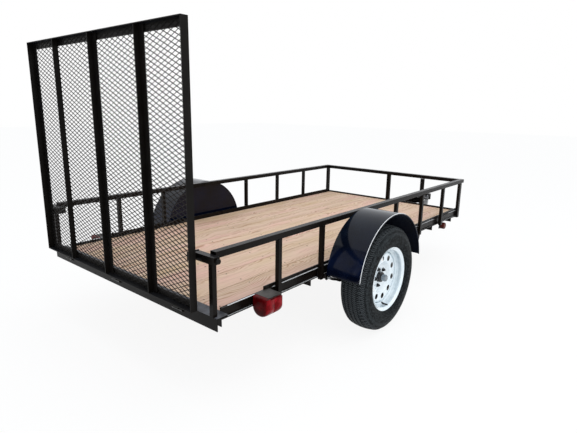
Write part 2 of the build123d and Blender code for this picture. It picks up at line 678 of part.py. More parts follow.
def marker_bracket():
    """Tab that hangs the side marker from the frame."""
    half = MARKER_RADIUS - 6.0
    return block((MARKER_X - half, MARKER_X + half), (WEB_INNER, WEB_OUTER),
                 (MARKER_Z - MARKER_RADIUS, FRAME_BOTTOM))


keep("tail_lamp_housings", both(tail_lamp_housing()))
keep("tail_lamp_lenses", both(tail_lamp_lens()))
keep("marker_lamps", both(marker_lamp()))
keep("marker_brackets", both(marker_bracket()))

# ---------------------------------------------------------------- ramp gate
GATE_REAR = REAR - GATE_BACK
GATE_IN = GATE_REAR + GATE_DEPTH           # face towards the bed
GATE_BOTTOM = 493.0
GATE_TOP = GATE_BOTTOM + GATE_HEIGHT
GATE_HALF = GATE_WIDTH / 2
UPRIGHTS = [(403.0, 1), (17.0, -1), (-393.0, -1)]    # left face of each web, side of its other leg
HINGE_X = REAR - 45.0
HINGE_Z = 455.0
BARREL = 12.5
HINGE_PIN = 7.0
HINGES = [560.0, 0.0, -560.0]
KNUCKLE = 40.0
MESH = 3.0
MESH_REAR = GATE_IN - STEEL - MESH         # the mesh lies behind the frame's face legs
MESH_EDGE = 2.0
DIAMOND = (156.0, 74.0)                    # pitch across, pitch up
STRAND = 12.0


def gate_stile():
    """Outer upright of the gate, an angle over its whole height."""
    side_leg = block((GATE_REAR, GATE_IN), (GATE_HALF - STEEL, GATE_HALF), (GATE_BOTTOM, GATE_TOP))
    face_leg = block((GATE_IN - STEEL, GATE_IN), (GATE_HALF - GATE_DEPTH, GATE_HALF),
                     (GATE_BOTTOM, GATE_TOP))
    return side_leg + face_leg


def gate_rail(level, inward):
    """Top or bottom angle of the gate, coped in between the stiles."""
    wide = GATE_HALF - STEEL
    narrow = GATE_HALF - GATE_DEPTH
    edge = level + inward * STEEL
    deep = level + inward * GATE_DEPTH
    flat = block((GATE_REAR, GATE_IN - STEEL), (-wide, wide), (level, edge))
    return flat + block((GATE_IN - STEEL, GATE_IN), (-narrow, narrow), (level, deep))


def gate_upright(y, hand):
    """Inner upright behind the mesh, an angle between the top and the bottom rail."""
    span = (GATE_BOTTOM + STEEL, GATE_TOP - STEEL)
    web = block((GATE_REAR, MESH_REAR), (y - STEEL, y), span)
    corner = y if hand < 0 else y - STEEL
    return web + block((MESH_REAR - STEEL, MESH_REAR), (corner, corner + hand * GATE_DEPTH), span)


def gate_mesh():
    """Expanded metal in the gate, against the rear of the frame's face legs."""
    y_half = GATE_HALF - STEEL - MESH_EDGE
    z0, z1 = GATE_BOTTOM + STEEL + MESH_EDGE, GATE_TOP - STEEL - MESH_EDGE
    across, up = DIAMOND
    solid = STRAND / 2 / (across * up / 2 / math.hypot(across, up))
    half_y, half_z = across / 2 * (1 - solid), up / 2 * (1 - solid)
    columns = int(2 * (y_half - STRAND) / (across / 2))
    rows = int((z1 - z0 - 2 * STRAND) / (up / 2))
    corner_y, corner_z = -columns * across / 4, (z0 + z1) / 2 - rows * up / 4
    holes = []
    for column in range(1, columns):
        for row in range(1, rows):
            if (column + row) % 2:
                continue
            y = corner_y + column * across / 2
            z = corner_z + row * up / 2
            holes.append(make_face(Polyline((MESH_REAR, y - half_y, z), (MESH_REAR, y, z - half_z),
                                            (MESH_REAR, y + half_y, z), (MESH_REAR, y, z + half_z),
                                            close=True)))
    cuts = [extrude(face, amount=MESH, dir=(1, 0, 0)) for face in holes]
    return block((MESH_REAR, MESH_REAR + MESH), (-y_half, y_half), (z0, z1)) - cuts


def hinge_knuckle(y, length, gate_side):
    """A barrel on the hinge's axis, with a strap up to the gate or a foot to the sill."""
    barrel = rod_y(BARREL, HINGE_X, (y, y + length), HINGE_Z)
    if gate_side:
        strap = block((GATE_IN, GATE_IN + 6.0), (y, y + length), (HINGE_Z, GATE_BOTTOM + 11.0))
        return barrel + strap - rod_y(HINGE_PIN + SEAT, HINGE_X, (y - 1, y + length + 1), HINGE_Z)
    foot = block((HINGE_X, SILL_REAR), (y, y + length), (HINGE_Z - BARREL, HINGE_Z))
    return barrel + foot


def gate_lug():
    """Eye on the gate that the latch pin goes through, on a foot on the stile."""
    y1 = LATCH_INNER - 8.0
    low, high = LATCH_Z - 20.0, LATCH_Z + 20.0
    foot = block((GATE_IN, GATE_IN + STEEL), (y1 - 8.0, y1 + 40.0), (low, high))
    plate = block((GATE_IN, LATCH_X + 20.0), (y1 - 8.0, y1), (low, high))
    return foot + plate - rod_y(PIN_RADIUS + 1.0, LATCH_X, (y1 - 9.0, y1 + 1.0), LATCH_Z)


gate_knuckles = []
sill_knuckles = []
for y in HINGES:
    gate_knuckles.append(hinge_knuckle(y - KNUCKLE / 2, KNUCKLE, True))
    ears = [hinge_knuckle(y - KNUCKLE / 2 - 1.0 - KNUCKLE / 2, KNUCKLE / 2, False),
            hinge_knuckle(y + KNUCKLE / 2 + 1.0, KNUCKLE / 2, False)]
    pin = rod_y(HINGE_PIN, HINGE_X, (y - KNUCKLE / 2 - 6.0, y + KNUCKLE / 2 + 6.0), HINGE_Z)
    sill_knuckles.append(ears[0] + ears[1] + pin)

keep("gate_stiles", both(gate_stile()))
keep("gate_rails", gate_rail(GATE_BOTTOM, 1), gate_rail(GATE_TOP, -1))
keep("gate_uprights", [gate_upright(y, hand) for y, hand in UPRIGHTS])
keep("gate_mesh", gate_mesh())
keep("gate_lugs", both(gate_lug()))
keep("gate_knuckles", gate_knuckles)
keep("sill_knuckles", sill_knuckles)

# ---------------------------------------------------------------- files
os.makedirs("parts", exist_ok=True)
for name, solids in PARTS.items():
    shape = solids[0] if len(solids) == 1 else Compound(children=solids)
    export_step(shape, f"parts/{name}.step")
print(len(PARTS), "nodes, total length", TOTAL_LENGTH)
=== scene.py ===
# %% [markdown]
# # Utility trailer with a mesh ramp gate
# The trailer is a welded steel bed on one axle, with a wooden deck, an open rail
# and a tall gate of expanded metal that folds down as a ramp. Its solids come from
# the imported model, which is the fixed frame. This script gives each of them its
# finish, and builds the fine pieces that solids are too coarse for: the lattice of
# the gate, the tyres' tread, the deck's screws, the welds and the fasteners.

# %% Load the frame
import math

import bpy
from mathutils import Matrix, Vector


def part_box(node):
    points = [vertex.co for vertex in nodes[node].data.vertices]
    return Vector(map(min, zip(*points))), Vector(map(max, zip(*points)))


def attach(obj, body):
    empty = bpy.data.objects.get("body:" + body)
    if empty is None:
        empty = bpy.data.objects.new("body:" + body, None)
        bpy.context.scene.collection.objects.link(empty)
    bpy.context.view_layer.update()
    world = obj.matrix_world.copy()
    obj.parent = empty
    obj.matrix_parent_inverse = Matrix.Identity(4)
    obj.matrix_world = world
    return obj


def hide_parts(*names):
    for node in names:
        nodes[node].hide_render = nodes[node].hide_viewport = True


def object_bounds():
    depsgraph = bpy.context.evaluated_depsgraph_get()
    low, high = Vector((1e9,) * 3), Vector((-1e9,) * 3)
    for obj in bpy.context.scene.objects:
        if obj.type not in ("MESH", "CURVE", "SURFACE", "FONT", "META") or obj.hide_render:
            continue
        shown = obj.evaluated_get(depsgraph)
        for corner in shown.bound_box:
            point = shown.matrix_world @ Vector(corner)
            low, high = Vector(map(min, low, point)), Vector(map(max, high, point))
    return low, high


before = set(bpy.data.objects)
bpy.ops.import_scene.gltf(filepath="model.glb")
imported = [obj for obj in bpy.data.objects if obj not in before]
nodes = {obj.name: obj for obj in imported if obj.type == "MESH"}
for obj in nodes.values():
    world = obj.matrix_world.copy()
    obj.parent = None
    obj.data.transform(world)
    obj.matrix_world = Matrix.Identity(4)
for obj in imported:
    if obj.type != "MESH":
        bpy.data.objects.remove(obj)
solid_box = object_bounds()

# %% [markdown]
# ## Camera
# A camera in Blender looks along its own -Z axis. Yaw, pitch and roll say where that
# axis points, so the three columns of its matrix are worked out from them: right, up
# and back. It stands behind the right rear corner, higher than the top rail, and
# its place is given from the bed's rear end, which the gate's rear face stands behind.

# %% Camera
GATE_BACK = 0.101
bed_rear = solid_box[0].x + GATE_BACK
CAMERA_BEHIND = 1.2841
CAMERA_RIGHT = 2.2768
CAMERA_HIGH = 1.3966
LOOK_YAW = math.radians(39.824)
LOOK_DOWN = math.radians(13.257)
CAMERA_ROLL = math.radians(0.939)
CAMERA_LENS = 28.536
SENSOR_WIDTH = 36.0


def camera_matrix(at, yaw, down, roll):
    """Right, up and back columns of a camera that looks along yaw, tilted down and rolled."""
    ahead = Vector((math.cos(down) * math.cos(yaw), math.cos(down) * math.sin(yaw), -math.sin(down)))
    level = Vector((math.sin(yaw), -math.cos(yaw), 0.0))
    upward = level.cross(ahead)
    right = level * math.cos(roll) + upward * math.sin(roll)
    up = upward * math.cos(roll) - level * math.sin(roll)
    turn = Matrix((right, up, -ahead)).transposed().to_4x4()
    return Matrix.Translation(at) @ turn


camera = bpy.data.objects.new("camera", bpy.data.cameras.new("camera"))
camera.data.lens = CAMERA_LENS
camera.data.sensor_width = SENSOR_WIDTH
camera_at = Vector((bed_rear - CAMERA_BEHIND, -CAMERA_RIGHT, CAMERA_HIGH))
camera.matrix_world = camera_matrix(camera_at, LOOK_YAW, LOOK_DOWN, CAMERA_ROLL)
bpy.context.scene.collection.objects.link(camera)
bpy.context.scene.camera = camera
bpy.context.scene.view_settings.view_transform = "Standard"
print("camera at", tuple(round(v, 3) for v in camera.location))

# %% [markdown]
# ## Places read from the solids
# One node may hold several separate solids, such as the posts of one side. A screw, a
# weld or a nut has to sit exactly on one of them, so its place is read from that
# solid's own corners instead of being typed again. Points that share a place belong
# to one solid, and each edge joins two of them. Following the edges splits the mesh
# into its solids, and the lowest and highest corner of each one are all that is needed.

# %% Corners of each solid
def solid_boxes(name):
    """Lowest and highest corner of each separate solid in a node, sorted by place."""
    mesh = nodes[name].data
    keys = [tuple(round(v * 1e5) for v in vertex.co) for vertex in mesh.vertices]
    above = {key: key for key in keys}

    def top(key):
        while above[key] != key:
            above[key] = above[above[key]]
            key = above[key]
        return key

    for edge in mesh.edges:
        first, second = (top(keys[index]) for index in edge.vertices)
        above[first] = second
    groups = {}
    for key in above:
        groups.setdefault(top(key), []).append(key)
    boxes = []
    for group in groups.values():
        low = Vector([min(axis) * 1e-5 for axis in zip(*group)])
        high = Vector([max(axis) * 1e-5 for axis in zip(*group)])
        boxes.append((low, high))
    return sorted(boxes, key=lambda box: (round(box[0].x, 3), round(box[0].y, 3)))


boards = solid_boxes("deck_boards")
crossmembers = solid_boxes("crossmembers")
posts = {side: solid_boxes(f"posts_{side}") for side in ("left", "right")}
print("boards", len(boards), "crossmembers", len(crossmembers), "posts", len(posts["left"]))

# %% [markdown]
# ## Making a piece
# Blender's modifiers and operators can make most shapes, but a lattice, a tread or a
# weld bead repeats one small rule many times, so its points and faces are simply
# listed and handed to a mesh. Every piece then rides on the body that carries it, so
# that it follows the gate, a wheel or the frame when a joint moves.

# %% Mesh helpers
def add_piece(title, points, faces, finish, slot, body, smooth=False):
    """A mesh object made of points and faces, with its finish, riding on a body."""
    mesh = bpy.data.meshes.new(title)
    mesh.from_pydata(points, [], faces)
    mesh.polygons.foreach_set("use_smooth", [smooth] * len(mesh.polygons))
    mesh.materials.append(finish)
    mesh.update()
    piece = bpy.data.objects.new(title, mesh)
    bpy.context.scene.collection.objects.link(piece)
    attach(piece, body)
    return piece


def skin(rings, size, start=0):
    """Faces between neighbouring rings of points, where every ring closes on itself."""
    faces = []
    for near in range(start, start + (rings - 1) * size, size):
        for step in range(size):
            after = (step + 1) % size
            faces.append((near + step, near + after, near + size + after, near + size + step))
    return faces


def capped_skin(rings, size):
    """The same, with a face over the first ring and one over the last."""
    last = (rings - 1) * size
    return skin(rings, size) + [tuple(reversed(range(size))), tuple(range(last, last + size))]


def lathe(profile, centre, axis, steps):
    """Points and faces of a profile of (along, radius) pairs turned about an axis."""
    axis = Vector(axis).normalized()
    across = axis.orthogonal().normalized()
    beside = axis.cross(across)
    points = []
    for along, radius in profile:
        for step in range(steps):
            angle = 2 * math.pi * step / steps
            spoke = across * math.cos(angle) + beside * math.sin(angle)
            points.append(Vector(centre) + axis * along + spoke * radius)
    return points, skin(len(profile), steps)


def gathered(shapes):
    """Many (points, faces) shapes as one, with the faces counted on."""
    points, faces = [], []
    for more_points, more_faces in shapes:
        start = len(points)
        points.extend(more_points)
        faces.extend(tuple(start + index for index in face) for face in more_faces)
    return points, faces


print("mesh helpers ready")

# %% [markdown]
# ## Building a finish
# A finish is a small graph of nodes that ends in the Principled shader. Helpers keep
# each one short: the main one adds a node and fills its inputs, with a plain value or
# with another node's output, and the others stand for one step each, such as a
# product, a blend of two colours or a colour ramp. Everything is driven by object
# coordinates, which are metres here, so a scale of 100 means a detail of about one
# centimetre on every piece. The finishes of the wheels and of the fenders round them
# change with the distance from the wheels' axis, so the second cell finds that axis.

# %% Node helpers
def new_finish(title):
    """A new material, its node tree and its Principled shader."""
    finish = bpy.data.materials.new(title)
    finish.use_nodes = True
    return finish, finish.node_tree, finish.node_tree.nodes["Principled BSDF"]


def fill(tree, made, inputs):
    """Sets or links the inputs of a node."""
    for key, value in inputs.items():
        if isinstance(value, bpy.types.NodeSocket):
            tree.links.new(value, made.inputs[key])
        else:
            made.inputs[key].default_value = value
    return made


def add_node(tree, kind, inputs, **settings):
    """A new node with its settings, and its inputs set or linked."""
    made = tree.nodes.new(kind)
    for key, value in settings.items():
        setattr(made, key, value)
    return fill(tree, made, inputs)


def ramp(tree, factor, stops):
    """A colour ramp over a factor, from (place, colour) stops."""
    made = tree.nodes.new("ShaderNodeValToRGB")
    tree.links.new(factor, made.inputs["Fac"])
    elements = made.color_ramp.elements
    while len(elements) < len(stops):
        elements.new(0.5)
    for element, (place, colour) in zip(elements, stops):
        element.position = place
        element.color = (*colour, 1.0)
    return made.outputs["Color"]


def spread(tree, factor, low, high, start=0.3, end=0.7):
    """A factor between start and end, carried to values between low and high."""
    made = add_node(tree, "ShaderNodeMapRange", {"Value": factor, "From Min": start, "From Max": end,
                                                 "To Min": low, "To Max": high})
    return made.outputs["Result"]


def maths(tree, operation, first, second=0.0):
    """One step of arithmetic on sockets or numbers."""
    return add_node(tree, "ShaderNodeMath", {0: first, 1: second}, operation=operation).outputs[0]


def times(tree, *factors):
    """The product of sockets or numbers."""
    product = factors[0]
    for factor in factors[1:]:
        product = maths(tree, "MULTIPLY", product, factor)
    return product


def plus(tree, first, second):
    """The sum of two sockets or numbers."""
    return maths(tree, "ADD", first, second)


def minus(tree, first, second):
    """One socket or number less another."""
    return maths(tree, "SUBTRACT", first, second)


def hypotenuse(tree, first, second):
    """The length of the long side of a right triangle."""
    return maths(tree, "SQRT", plus(tree, times(tree, first, first), times(tree, second, second)))


def apart(tree, vector):
    """The X, Y and Z of a vector."""
    return add_node(tree, "ShaderNodeSeparateXYZ", {"Vector": vector}).outputs


def facing(tree):
    """The X, Y and Z of the direction that the surface faces."""
    return apart(tree, add_node(tree, "ShaderNodeNewGeometry", {}).outputs["Normal"])


def blend(tree, factor, first, second):
    """A colour between two, where each one is a socket or a (red, green, blue)."""
    first, second = ((*shade, 1.0) if isinstance(shade, tuple) else shade for shade in (first, second))
    return add_node(tree, "ShaderNodeMix", {"Factor": factor, "A": first, "B": second},
                    data_type="RGBA").outputs["Result"]


def bumped(tree, height, strength, distance):
    """A surface normal that a height pattern tilts."""
    return add_node(tree, "ShaderNodeBump", {"Height": height, "Strength": strength,
                                             "Distance": distance}).outputs["Normal"]


def noise(tree, place, scale, detail=4.0):
    """Cloudy noise at a place."""
    made = add_node(tree, "ShaderNodeTexNoise", {"Vector": place, "Scale": scale, "Detail": detail})
    return made.outputs["Fac"]


def object_place(tree):
    """Object coordinates, in metres."""
    return add_node(tree, "ShaderNodeTexCoord", {}).outputs["Object"]


print("node helpers ready")

# %% Wheel places
SIDES = (("left", 1), ("right", -1))
wheel_low, wheel_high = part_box("tyre_right")
wheel_centre = (wheel_low + wheel_high) / 2


def wheel_at(hand):
    """The middle of the left wheel (1) or of the right one (-1)."""
    return Vector((wheel_centre.x, hand * abs(wheel_centre.y), wheel_centre.z))


def from_axis(tree, place):
    """How far a point lies ahead of the wheels' axis, and above it."""
    part = apart(tree, place)
    return minus(tree, part["X"], wheel_centre.x), minus(tree, part["Z"], wheel_centre.z)


def wheel_polar(tree, place):
    """Distance from the wheels' axis, and offset outward from a wheel's middle."""
    outward = minus(tree, maths(tree, "ABSOLUTE", apart(tree, place)["Y"]), abs(wheel_centre.y))
    return hypotenuse(tree, *from_axis(tree, place)), outward


print("wheel centre", tuple(round(v, 3) for v in wheel_centre))

# %% [markdown]
# ## Black paint
# The whole frame is sprayed with gloss black. Fresh enamel is nearly black straight
# on and mirrors the sky at a grazing angle, which is why the tops of the rails look
# pale. That comes from the shader's own Fresnel, so the paint only needs a very dark
# colour, a moderate gloss and a slight orange-peel bump. Faces that look up get a paler
# colour, partly dust and partly a painted reflection of the sky, so the height of the
# surface normal decides how much of it shows, and a blue sheen is a painted sky
# reflection at grazing angles. The inner faces of the fenders carry a matt underbody
# coat instead, and low on their rear faces the enamel gets a painted navy reflection of
# the sky: where a face lies and points decides both.

# %% Black paint
def painted_black(title, dark, dusty, dust_and_sky, gloss, level, sky_sheen):
    """Black enamel with a paler colour on its upward faces, partly dust and partly painted sky reflection, an
    orange-peel surface and a blue sheen that stands in for the sky's reflection.
    """
    finish, tree, shader = new_finish(title)
    place = object_place(tree)
    cloud = noise(tree, place, 7.0, 6.0)
    peel = noise(tree, place, 380.0, 2.0)
    # Upward faces get a paler colour: partly dust, partly a painted reflection of the sky.
    dust_and_sky_mask = times(tree, spread(tree, facing(tree)["Z"], 0.0, 1.0, 0.5, 0.95),
                    spread(tree, noise(tree, place, 19.0, 7.0), 0.35, 1.0, 0.35, 0.65))
    enamel = ramp(tree, cloud, [(0.35, dark), (0.75, dusty)])
    fill(tree, shader, {
        "Base Color": blend(tree, dust_and_sky_mask, enamel, dust_and_sky),
        "Roughness": spread(tree, noise(tree, place, 14.0, 5.0), *gloss),
        "Normal": bumped(tree, peel, 0.06, 0.0006),
        "Specular IOR Level": level,
        # The sheen's blue tint is a painted reflection of the sky at grazing angles.
        "Sheen Weight": sky_sheen,
        "Sheen Roughness": 0.35,
        "Sheen Tint": (0.40, 0.62, 1.0, 1.0),
    })
    return finish


frame_paint = painted_black("frame_paint", (0.0042, 0.0028, 0.0020), (0.0080, 0.0058, 0.0044),
                            (0.013, 0.0115, 0.0115), (0.20, 0.34), 0.09, 0.03)
gate_paint = painted_black("gate_paint", (0.0050, 0.0040, 0.0032), (0.0090, 0.0078, 0.0068),
                           (0.013, 0.013, 0.014), (0.28, 0.44), 0.10, 0.02)
# The blue in the fenders' black is partly a painted reflection of the sky.
fender_paint = painted_black("fender_paint", (0.0008, 0.0016, 0.0052), (0.0015, 0.0042, 0.0170),
                             (0.0060, 0.0100, 0.0180), (0.07, 0.14), 0.22, 0.06)
# The sill's pale blue-grey top is partly scuffed paint and partly a painted reflection of the sky.
scuffed_and_sky_lit_paint = painted_black("scuffed_and_sky_lit_paint", (0.0045, 0.0036, 0.0030), (0.0085, 0.0072, 0.0064),
                              (0.105, 0.108, 0.125), (0.24, 0.40), 0.08, 0.03)
REFLECTION_FROM = (0.450, 0.490)     # heights over which the painted navy reflection on a fender's rear face fades in
REFLECTION_TO = (0.560, 0.620)       # heights over which it fades out again
# A painted reflection of the blue sky, low on the fenders' rear faces.
NAVY_SKY_REFLECTION = (0.0040, 0.0090, 0.0340)


def undercoated_with_sky_reflection(finish):
    """Matt underbody coat on a fender's inner faces, and a painted navy reflection of the sky low on its rear
    face.
    """
    tree, shader = finish.node_tree, finish.node_tree.nodes["Principled BSDF"]
    painted, glossy = (shader.inputs[name].links[0].from_socket for name in ("Base Color", "Roughness"))
    place, way = object_place(tree), facing(tree)
    ahead, above = from_axis(tree, place)
    inward = plus(tree, times(tree, way["X"], ahead), times(tree, way["Z"], above))
    coated = spread(tree, inward, 1.0, 0.0, -0.30, -0.15)
    rearward = spread(tree, way["X"], 1.0, 0.0, -0.95, -0.80)
    height = apart(tree, place)["Z"]
    rises = spread(tree, height, 0.0, 1.0, *REFLECTION_FROM)
    falls = spread(tree, height, 1.0, 0.0, *REFLECTION_TO)
    uneven = spread(tree, noise(tree, place, 8.0, 3.0), 0.1, 1.0)
    # Painted reflection: the sky's navy tint, low on the rear faces.
    navy_reflection = times(tree, rearward, minus(tree, 1.0, coated), rises, falls, uneven)
    rough = add_node(tree, "ShaderNodeMix", {"Factor": coated, "A": glossy, "B": 0.92})
    fill(tree, shader, {"Roughness": rough.outputs["Result"], "Base Color": blend(tree, navy_reflection, painted, NAVY_SKY_REFLECTION)})


undercoated_with_sky_reflection(fender_paint)
print("paints:", frame_paint.name, gate_paint.name, fender_paint.name, scuffed_and_sky_lit_paint.name)

# %% [markdown]
# ## Deck planks
# The deck is dry, untreated pine. A flat-sawn plank shows long arches, because the
# saw cuts the tree's rings at a shallow angle. The finish copies that: each plank
# gets its own tree, whose heart runs along the plank somewhere below it, and the
# distance from that heart, shaken by a soft noise, is turned into rings. Fine
# stretched noise adds the fibres, and a cell pattern adds a knot here and there. The
# planks share one mesh, so a plank's number is worked out from its place across the bed.

# %% Deck planks
plank_pitch = boards[1][0].y - boards[0][0].y
deck_side = boards[0][0].y
RINGS_PER_METRE = 70.0
PLANK_SHIFT = 9.0              # the patterns of two planks lie up to this far apart
RING_SWAY = 0.24               # how far the rings wander across a plank
HEART_SPREAD = 0.14            # the tree's heart lies within this width about a plank's middle
HEART_DEEP = 0.02              # and at least this far below its face,
HEART_DEEPER = 0.03            # and up to this much more
KNOT_SHOWN = 0.72
TONE_LOWEST = 0.90
TONE_SPREAD = 0.16


def plank_wood(title):
    """Pale pine with rings, fibres and knots, different on every plank."""
    finish, tree, shader = new_finish(title)
    place = object_place(tree)
    along = apart(tree, place)
    number = maths(tree, "FLOOR", maths(tree, "DIVIDE", minus(tree, along["Y"], deck_side), plank_pitch))
    chance = add_node(tree, "ShaderNodeTexWhiteNoise", {"W": number}, noise_dimensions="1D")
    pick = apart(tree, chance.outputs["Color"])
    middle = plus(tree, times(tree, plus(tree, number, 0.5), plank_pitch), deck_side)
    shift = times(tree, pick["X"], PLANK_SHIFT)
    x = plus(tree, along["X"], shift)
    y = minus(tree, along["Y"], middle)

    def stretched(along_plank, across_plank):
        """The plank's own place, with each direction scaled."""
        return add_node(tree, "ShaderNodeCombineXYZ", {
            "X": times(tree, x, along_plank), "Y": times(tree, y, across_plank), "Z": shift}).outputs[0]

    sway = times(tree, minus(tree, noise(tree, stretched(2.0, 4.0), 1.3, 3.0), 0.5), RING_SWAY)
    heart_y = times(tree, minus(tree, pick["Y"], 0.5), HEART_SPREAD)
    from_heart = plus(tree, minus(tree, y, heart_y), sway)
    depth = plus(tree, times(tree, pick["Z"], HEART_DEEPER), HEART_DEEP)
    bands = maths(tree, "SINE", times(tree, hypotenuse(tree, from_heart, depth),
                                      RINGS_PER_METRE * 2 * math.pi))
    late = maths(tree, "POWER", maths(tree, "MULTIPLY_ADD", bands, 0.5), 2.0)
    fibre_place = add_node(tree, "ShaderNodeCombineXYZ", {
        "X": times(tree, x, 1.6), "Y": times(tree, along["Y"], 95.0), "Z": times(tree, along["Z"], 95.0)})
    fibre = noise(tree, fibre_place.outputs[0], 1.0, 6.0)
    knots = add_node(tree, "ShaderNodeTexVoronoi", {"Vector": stretched(2.2, 6.5), "Scale": 1.0})
    knot = spread(tree, knots.outputs["Distance"], 1.0, 0.0, 0.045, 0.110)
    body = ramp(tree, noise(tree, stretched(1.1, 5.0), 1.6, 3.0),
                [(0.30, (0.640, 0.465, 0.300)), (0.50, (0.680, 0.500, 0.370)), (0.70, (0.725, 0.470, 0.385))])
    strength = spread(tree, noise(tree, stretched(0.8, 22.0), 1.0, 4.0), 0.16, 0.78, 0.42, 0.62)
    ringed = blend(tree, times(tree, late, strength), body, (0.38, 0.190, 0.105))
    fibred = blend(tree, spread(tree, fibre, 0.0, 0.42, 0.50, 0.78), ringed, (0.33, 0.22, 0.14))
    knotted = blend(tree, times(tree, knot, KNOT_SHOWN), fibred, (0.17, 0.085, 0.045))
    tone = plus(tree, times(tree, pick["Y"], TONE_SPREAD), TONE_LOWEST)
    toned = add_node(tree, "ShaderNodeHueSaturation", {"Value": tone, "Color": knotted})
    fill(tree, shader, {
        "Base Color": toned.outputs["Color"],
        "Roughness": spread(tree, fibre, 0.58, 0.80),
        "Normal": bumped(tree, plus(tree, times(tree, late, 0.4), fibre), 0.35, 0.0012),
        "Specular IOR Level": 0.30,
    })
    return finish


deck_wood = plank_wood("deck_wood")
print("plank pitch", round(plank_pitch, 4), "rings per metre", RINGS_PER_METRE)

# %% [markdown]
# ## Rubber, wheel paint and zinc
# Tyre rubber is a matt dark grey with a dusty bloom, scuffed along its walls, paler
# on the lands of its tread and darker in the cuts between them, which is painted light
# and shade. The pressed wheels have a hard white gloss paint, with painted shade in the
# well and on the inside of the wheel. The hub is zinc plated steel with a bright grease
# cap, but its nuts and the band behind the cap are black. So each finish works out how
# far a point lies from the wheel's axis and from its middle and mixes its colours by
# that, which saves splitting one turned piece into three.

# %% Rubber
TREAD_FROM = 0.312             # the cuts start at this radius
FINE_CUTS = 150.0              # slanted cuts round the whole tyre
ZIGZAG = 0.010                 # they change direction at this spacing across the tread
CUT_LEAN = 420.0               # and lean by this many radians of a wave in each metre
SCUFF_RING = 0.296             # the wall is scuffed along a ring of this radius


def tyre_rubber(title):
    """Matt black rubber: a dusty bloom, and fine slanted cuts in the tread and its shoulders, painted darker
    than the lands as shade.
    """
    finish, tree, shader = new_finish(title)
    place = object_place(tree)
    radius, outward = wheel_polar(tree, place)
    turn = maths(tree, "ARCTAN2", *from_axis(tree, place))
    zigzag = maths(tree, "PINGPONG", outward, ZIGZAG)
    wave = maths(tree, "SINE", plus(tree, times(tree, turn, FINE_CUTS), times(tree, zigzag, CUT_LEAN)))
    on_tread = spread(tree, radius, 0.0, 1.0, TREAD_FROM, TREAD_FROM + 0.010)
    # Lands paler than the cuts between them: painted light on the lands, painted shade in the cuts.
    lands = times(tree, spread(tree, wave, 0.0, 1.0, -0.2, 0.5), on_tread)
    grit = noise(tree, place, 260.0, 3.0)
    side_dust = spread(tree, noise(tree, place, 105.0, 5.0), 0.0, 1.0, 0.46, 0.60)
    walls = ramp(tree, noise(tree, place, 16.0, 6.0),
                 [(0.32, (0.0014, 0.0018, 0.0024)), (0.72, (0.0055, 0.0068, 0.0078))])
    dusted = blend(tree, side_dust, walls, (0.0240, 0.0285, 0.0310))
    from_ring = maths(tree, "ABSOLUTE", minus(tree, radius, SCUFF_RING))
    scuffed = times(tree, spread(tree, from_ring, 0.8, 0.0, 0.004, 0.014),
                    spread(tree, noise(tree, place, 120.0, 6.0), 0.1, 1.0, 0.40, 0.64))
    ringed = blend(tree, scuffed, dusted, (0.0480, 0.0550, 0.0590))
    fill(tree, shader, {
        "Base Color": blend(tree, lands, ringed, (0.0640, 0.0710, 0.0760)),
        "Roughness": spread(tree, grit, 0.46, 0.70),
        "Normal": bumped(tree, plus(tree, grit, times(tree, lands, 1.5)), 0.35, 0.0010),
        "Specular IOR Level": 0.06,
    })
    return finish


rubber = tyre_rubber("tyre_rubber")
print("finish:", rubber.name)


# %% Wheel paint
DISC_FRONT = 0.0115            # the inside of the wheel is painted dark as shade up to here, outward from its middle
WELL_RING = (0.168, 0.178)     # radii over which the painted shade of the well comes in
WELL_EDGE = (0.058, 0.070)     # offsets outward over which it ends
HUB_HOLE = 0.0840              # the painted shade inside starts at this radius


def wheel_enamel(title):
    """Gloss white paint with a faint cool cloud, painted shade in the well, and the inside of the wheel
    painted dark as shade.
    """
    finish, tree, shader = new_finish(title)
    place = object_place(tree)
    radius, outward = wheel_polar(tree, place)
    cloud = noise(tree, place, 9.0, 5.0)
    white = ramp(tree, cloud, [(0.30, (0.80, 0.89, 0.94)), (0.65, (0.90, 0.96, 0.985))])
    edge = maths(tree, "MINIMUM", DISC_FRONT, times(tree, minus(tree, radius, 0.0815), 0.9))
    # Painted shade: the inside of the wheel, behind the disc, is dark.
    shaded_inside = times(tree, maths(tree, "LESS_THAN", outward, edge),
                   maths(tree, "GREATER_THAN", radius, HUB_HOLE))
    # Painted shade in the well of the rim.
    well_shade = times(tree, spread(tree, radius, 0.0, 1.0, *WELL_RING),
                 spread(tree, outward, 1.0, 0.0, *WELL_EDGE),
                 spread(tree, noise(tree, place, 24.0, 5.0), 0.30, 0.85))
    well_shaded = blend(tree, well_shade, white, (0.42, 0.52, 0.58))
    fill(tree, shader, {
        "Base Color": blend(tree, shaded_inside, well_shaded, (0.008, 0.008, 0.009)),
        "Roughness": spread(tree, cloud, 0.18, 0.30),
        "Normal": bumped(tree, noise(tree, place, 240.0, 2.0), 0.04, 0.0008),
        "Coat Weight": 0.9,
        "Coat Roughness": 0.12,
    })
    return finish


wheel_white = wheel_enamel("wheel_white")
print("finish:", wheel_white.name)


# %% Zinc and the hub
def zinc_colour(tree, place, pale=(0.50, 0.52, 0.54), deep=(0.36, 0.37, 0.39)):
    """Spangled zinc: cells that are pale in the middle and darker between."""
    cells = add_node(tree, "ShaderNodeTexVoronoi", {"Vector": place, "Scale": 120.0})
    return ramp(tree, cells.outputs["Distance"], [(0.1, pale), (0.7, deep)])


def zinc(title, *shades):
    """Zinc plated steel."""
    finish, tree, shader = new_finish(title)
    place = object_place(tree)
    fill(tree, shader, {
        "Base Color": zinc_colour(tree, place, *shades),
        "Metallic": 1.0,
        "Roughness": spread(tree, noise(tree, place, 40.0), 0.30, 0.48),
        "Normal": bumped(tree, noise(tree, place, 500.0), 0.05, 0.0005),
    })
    return finish


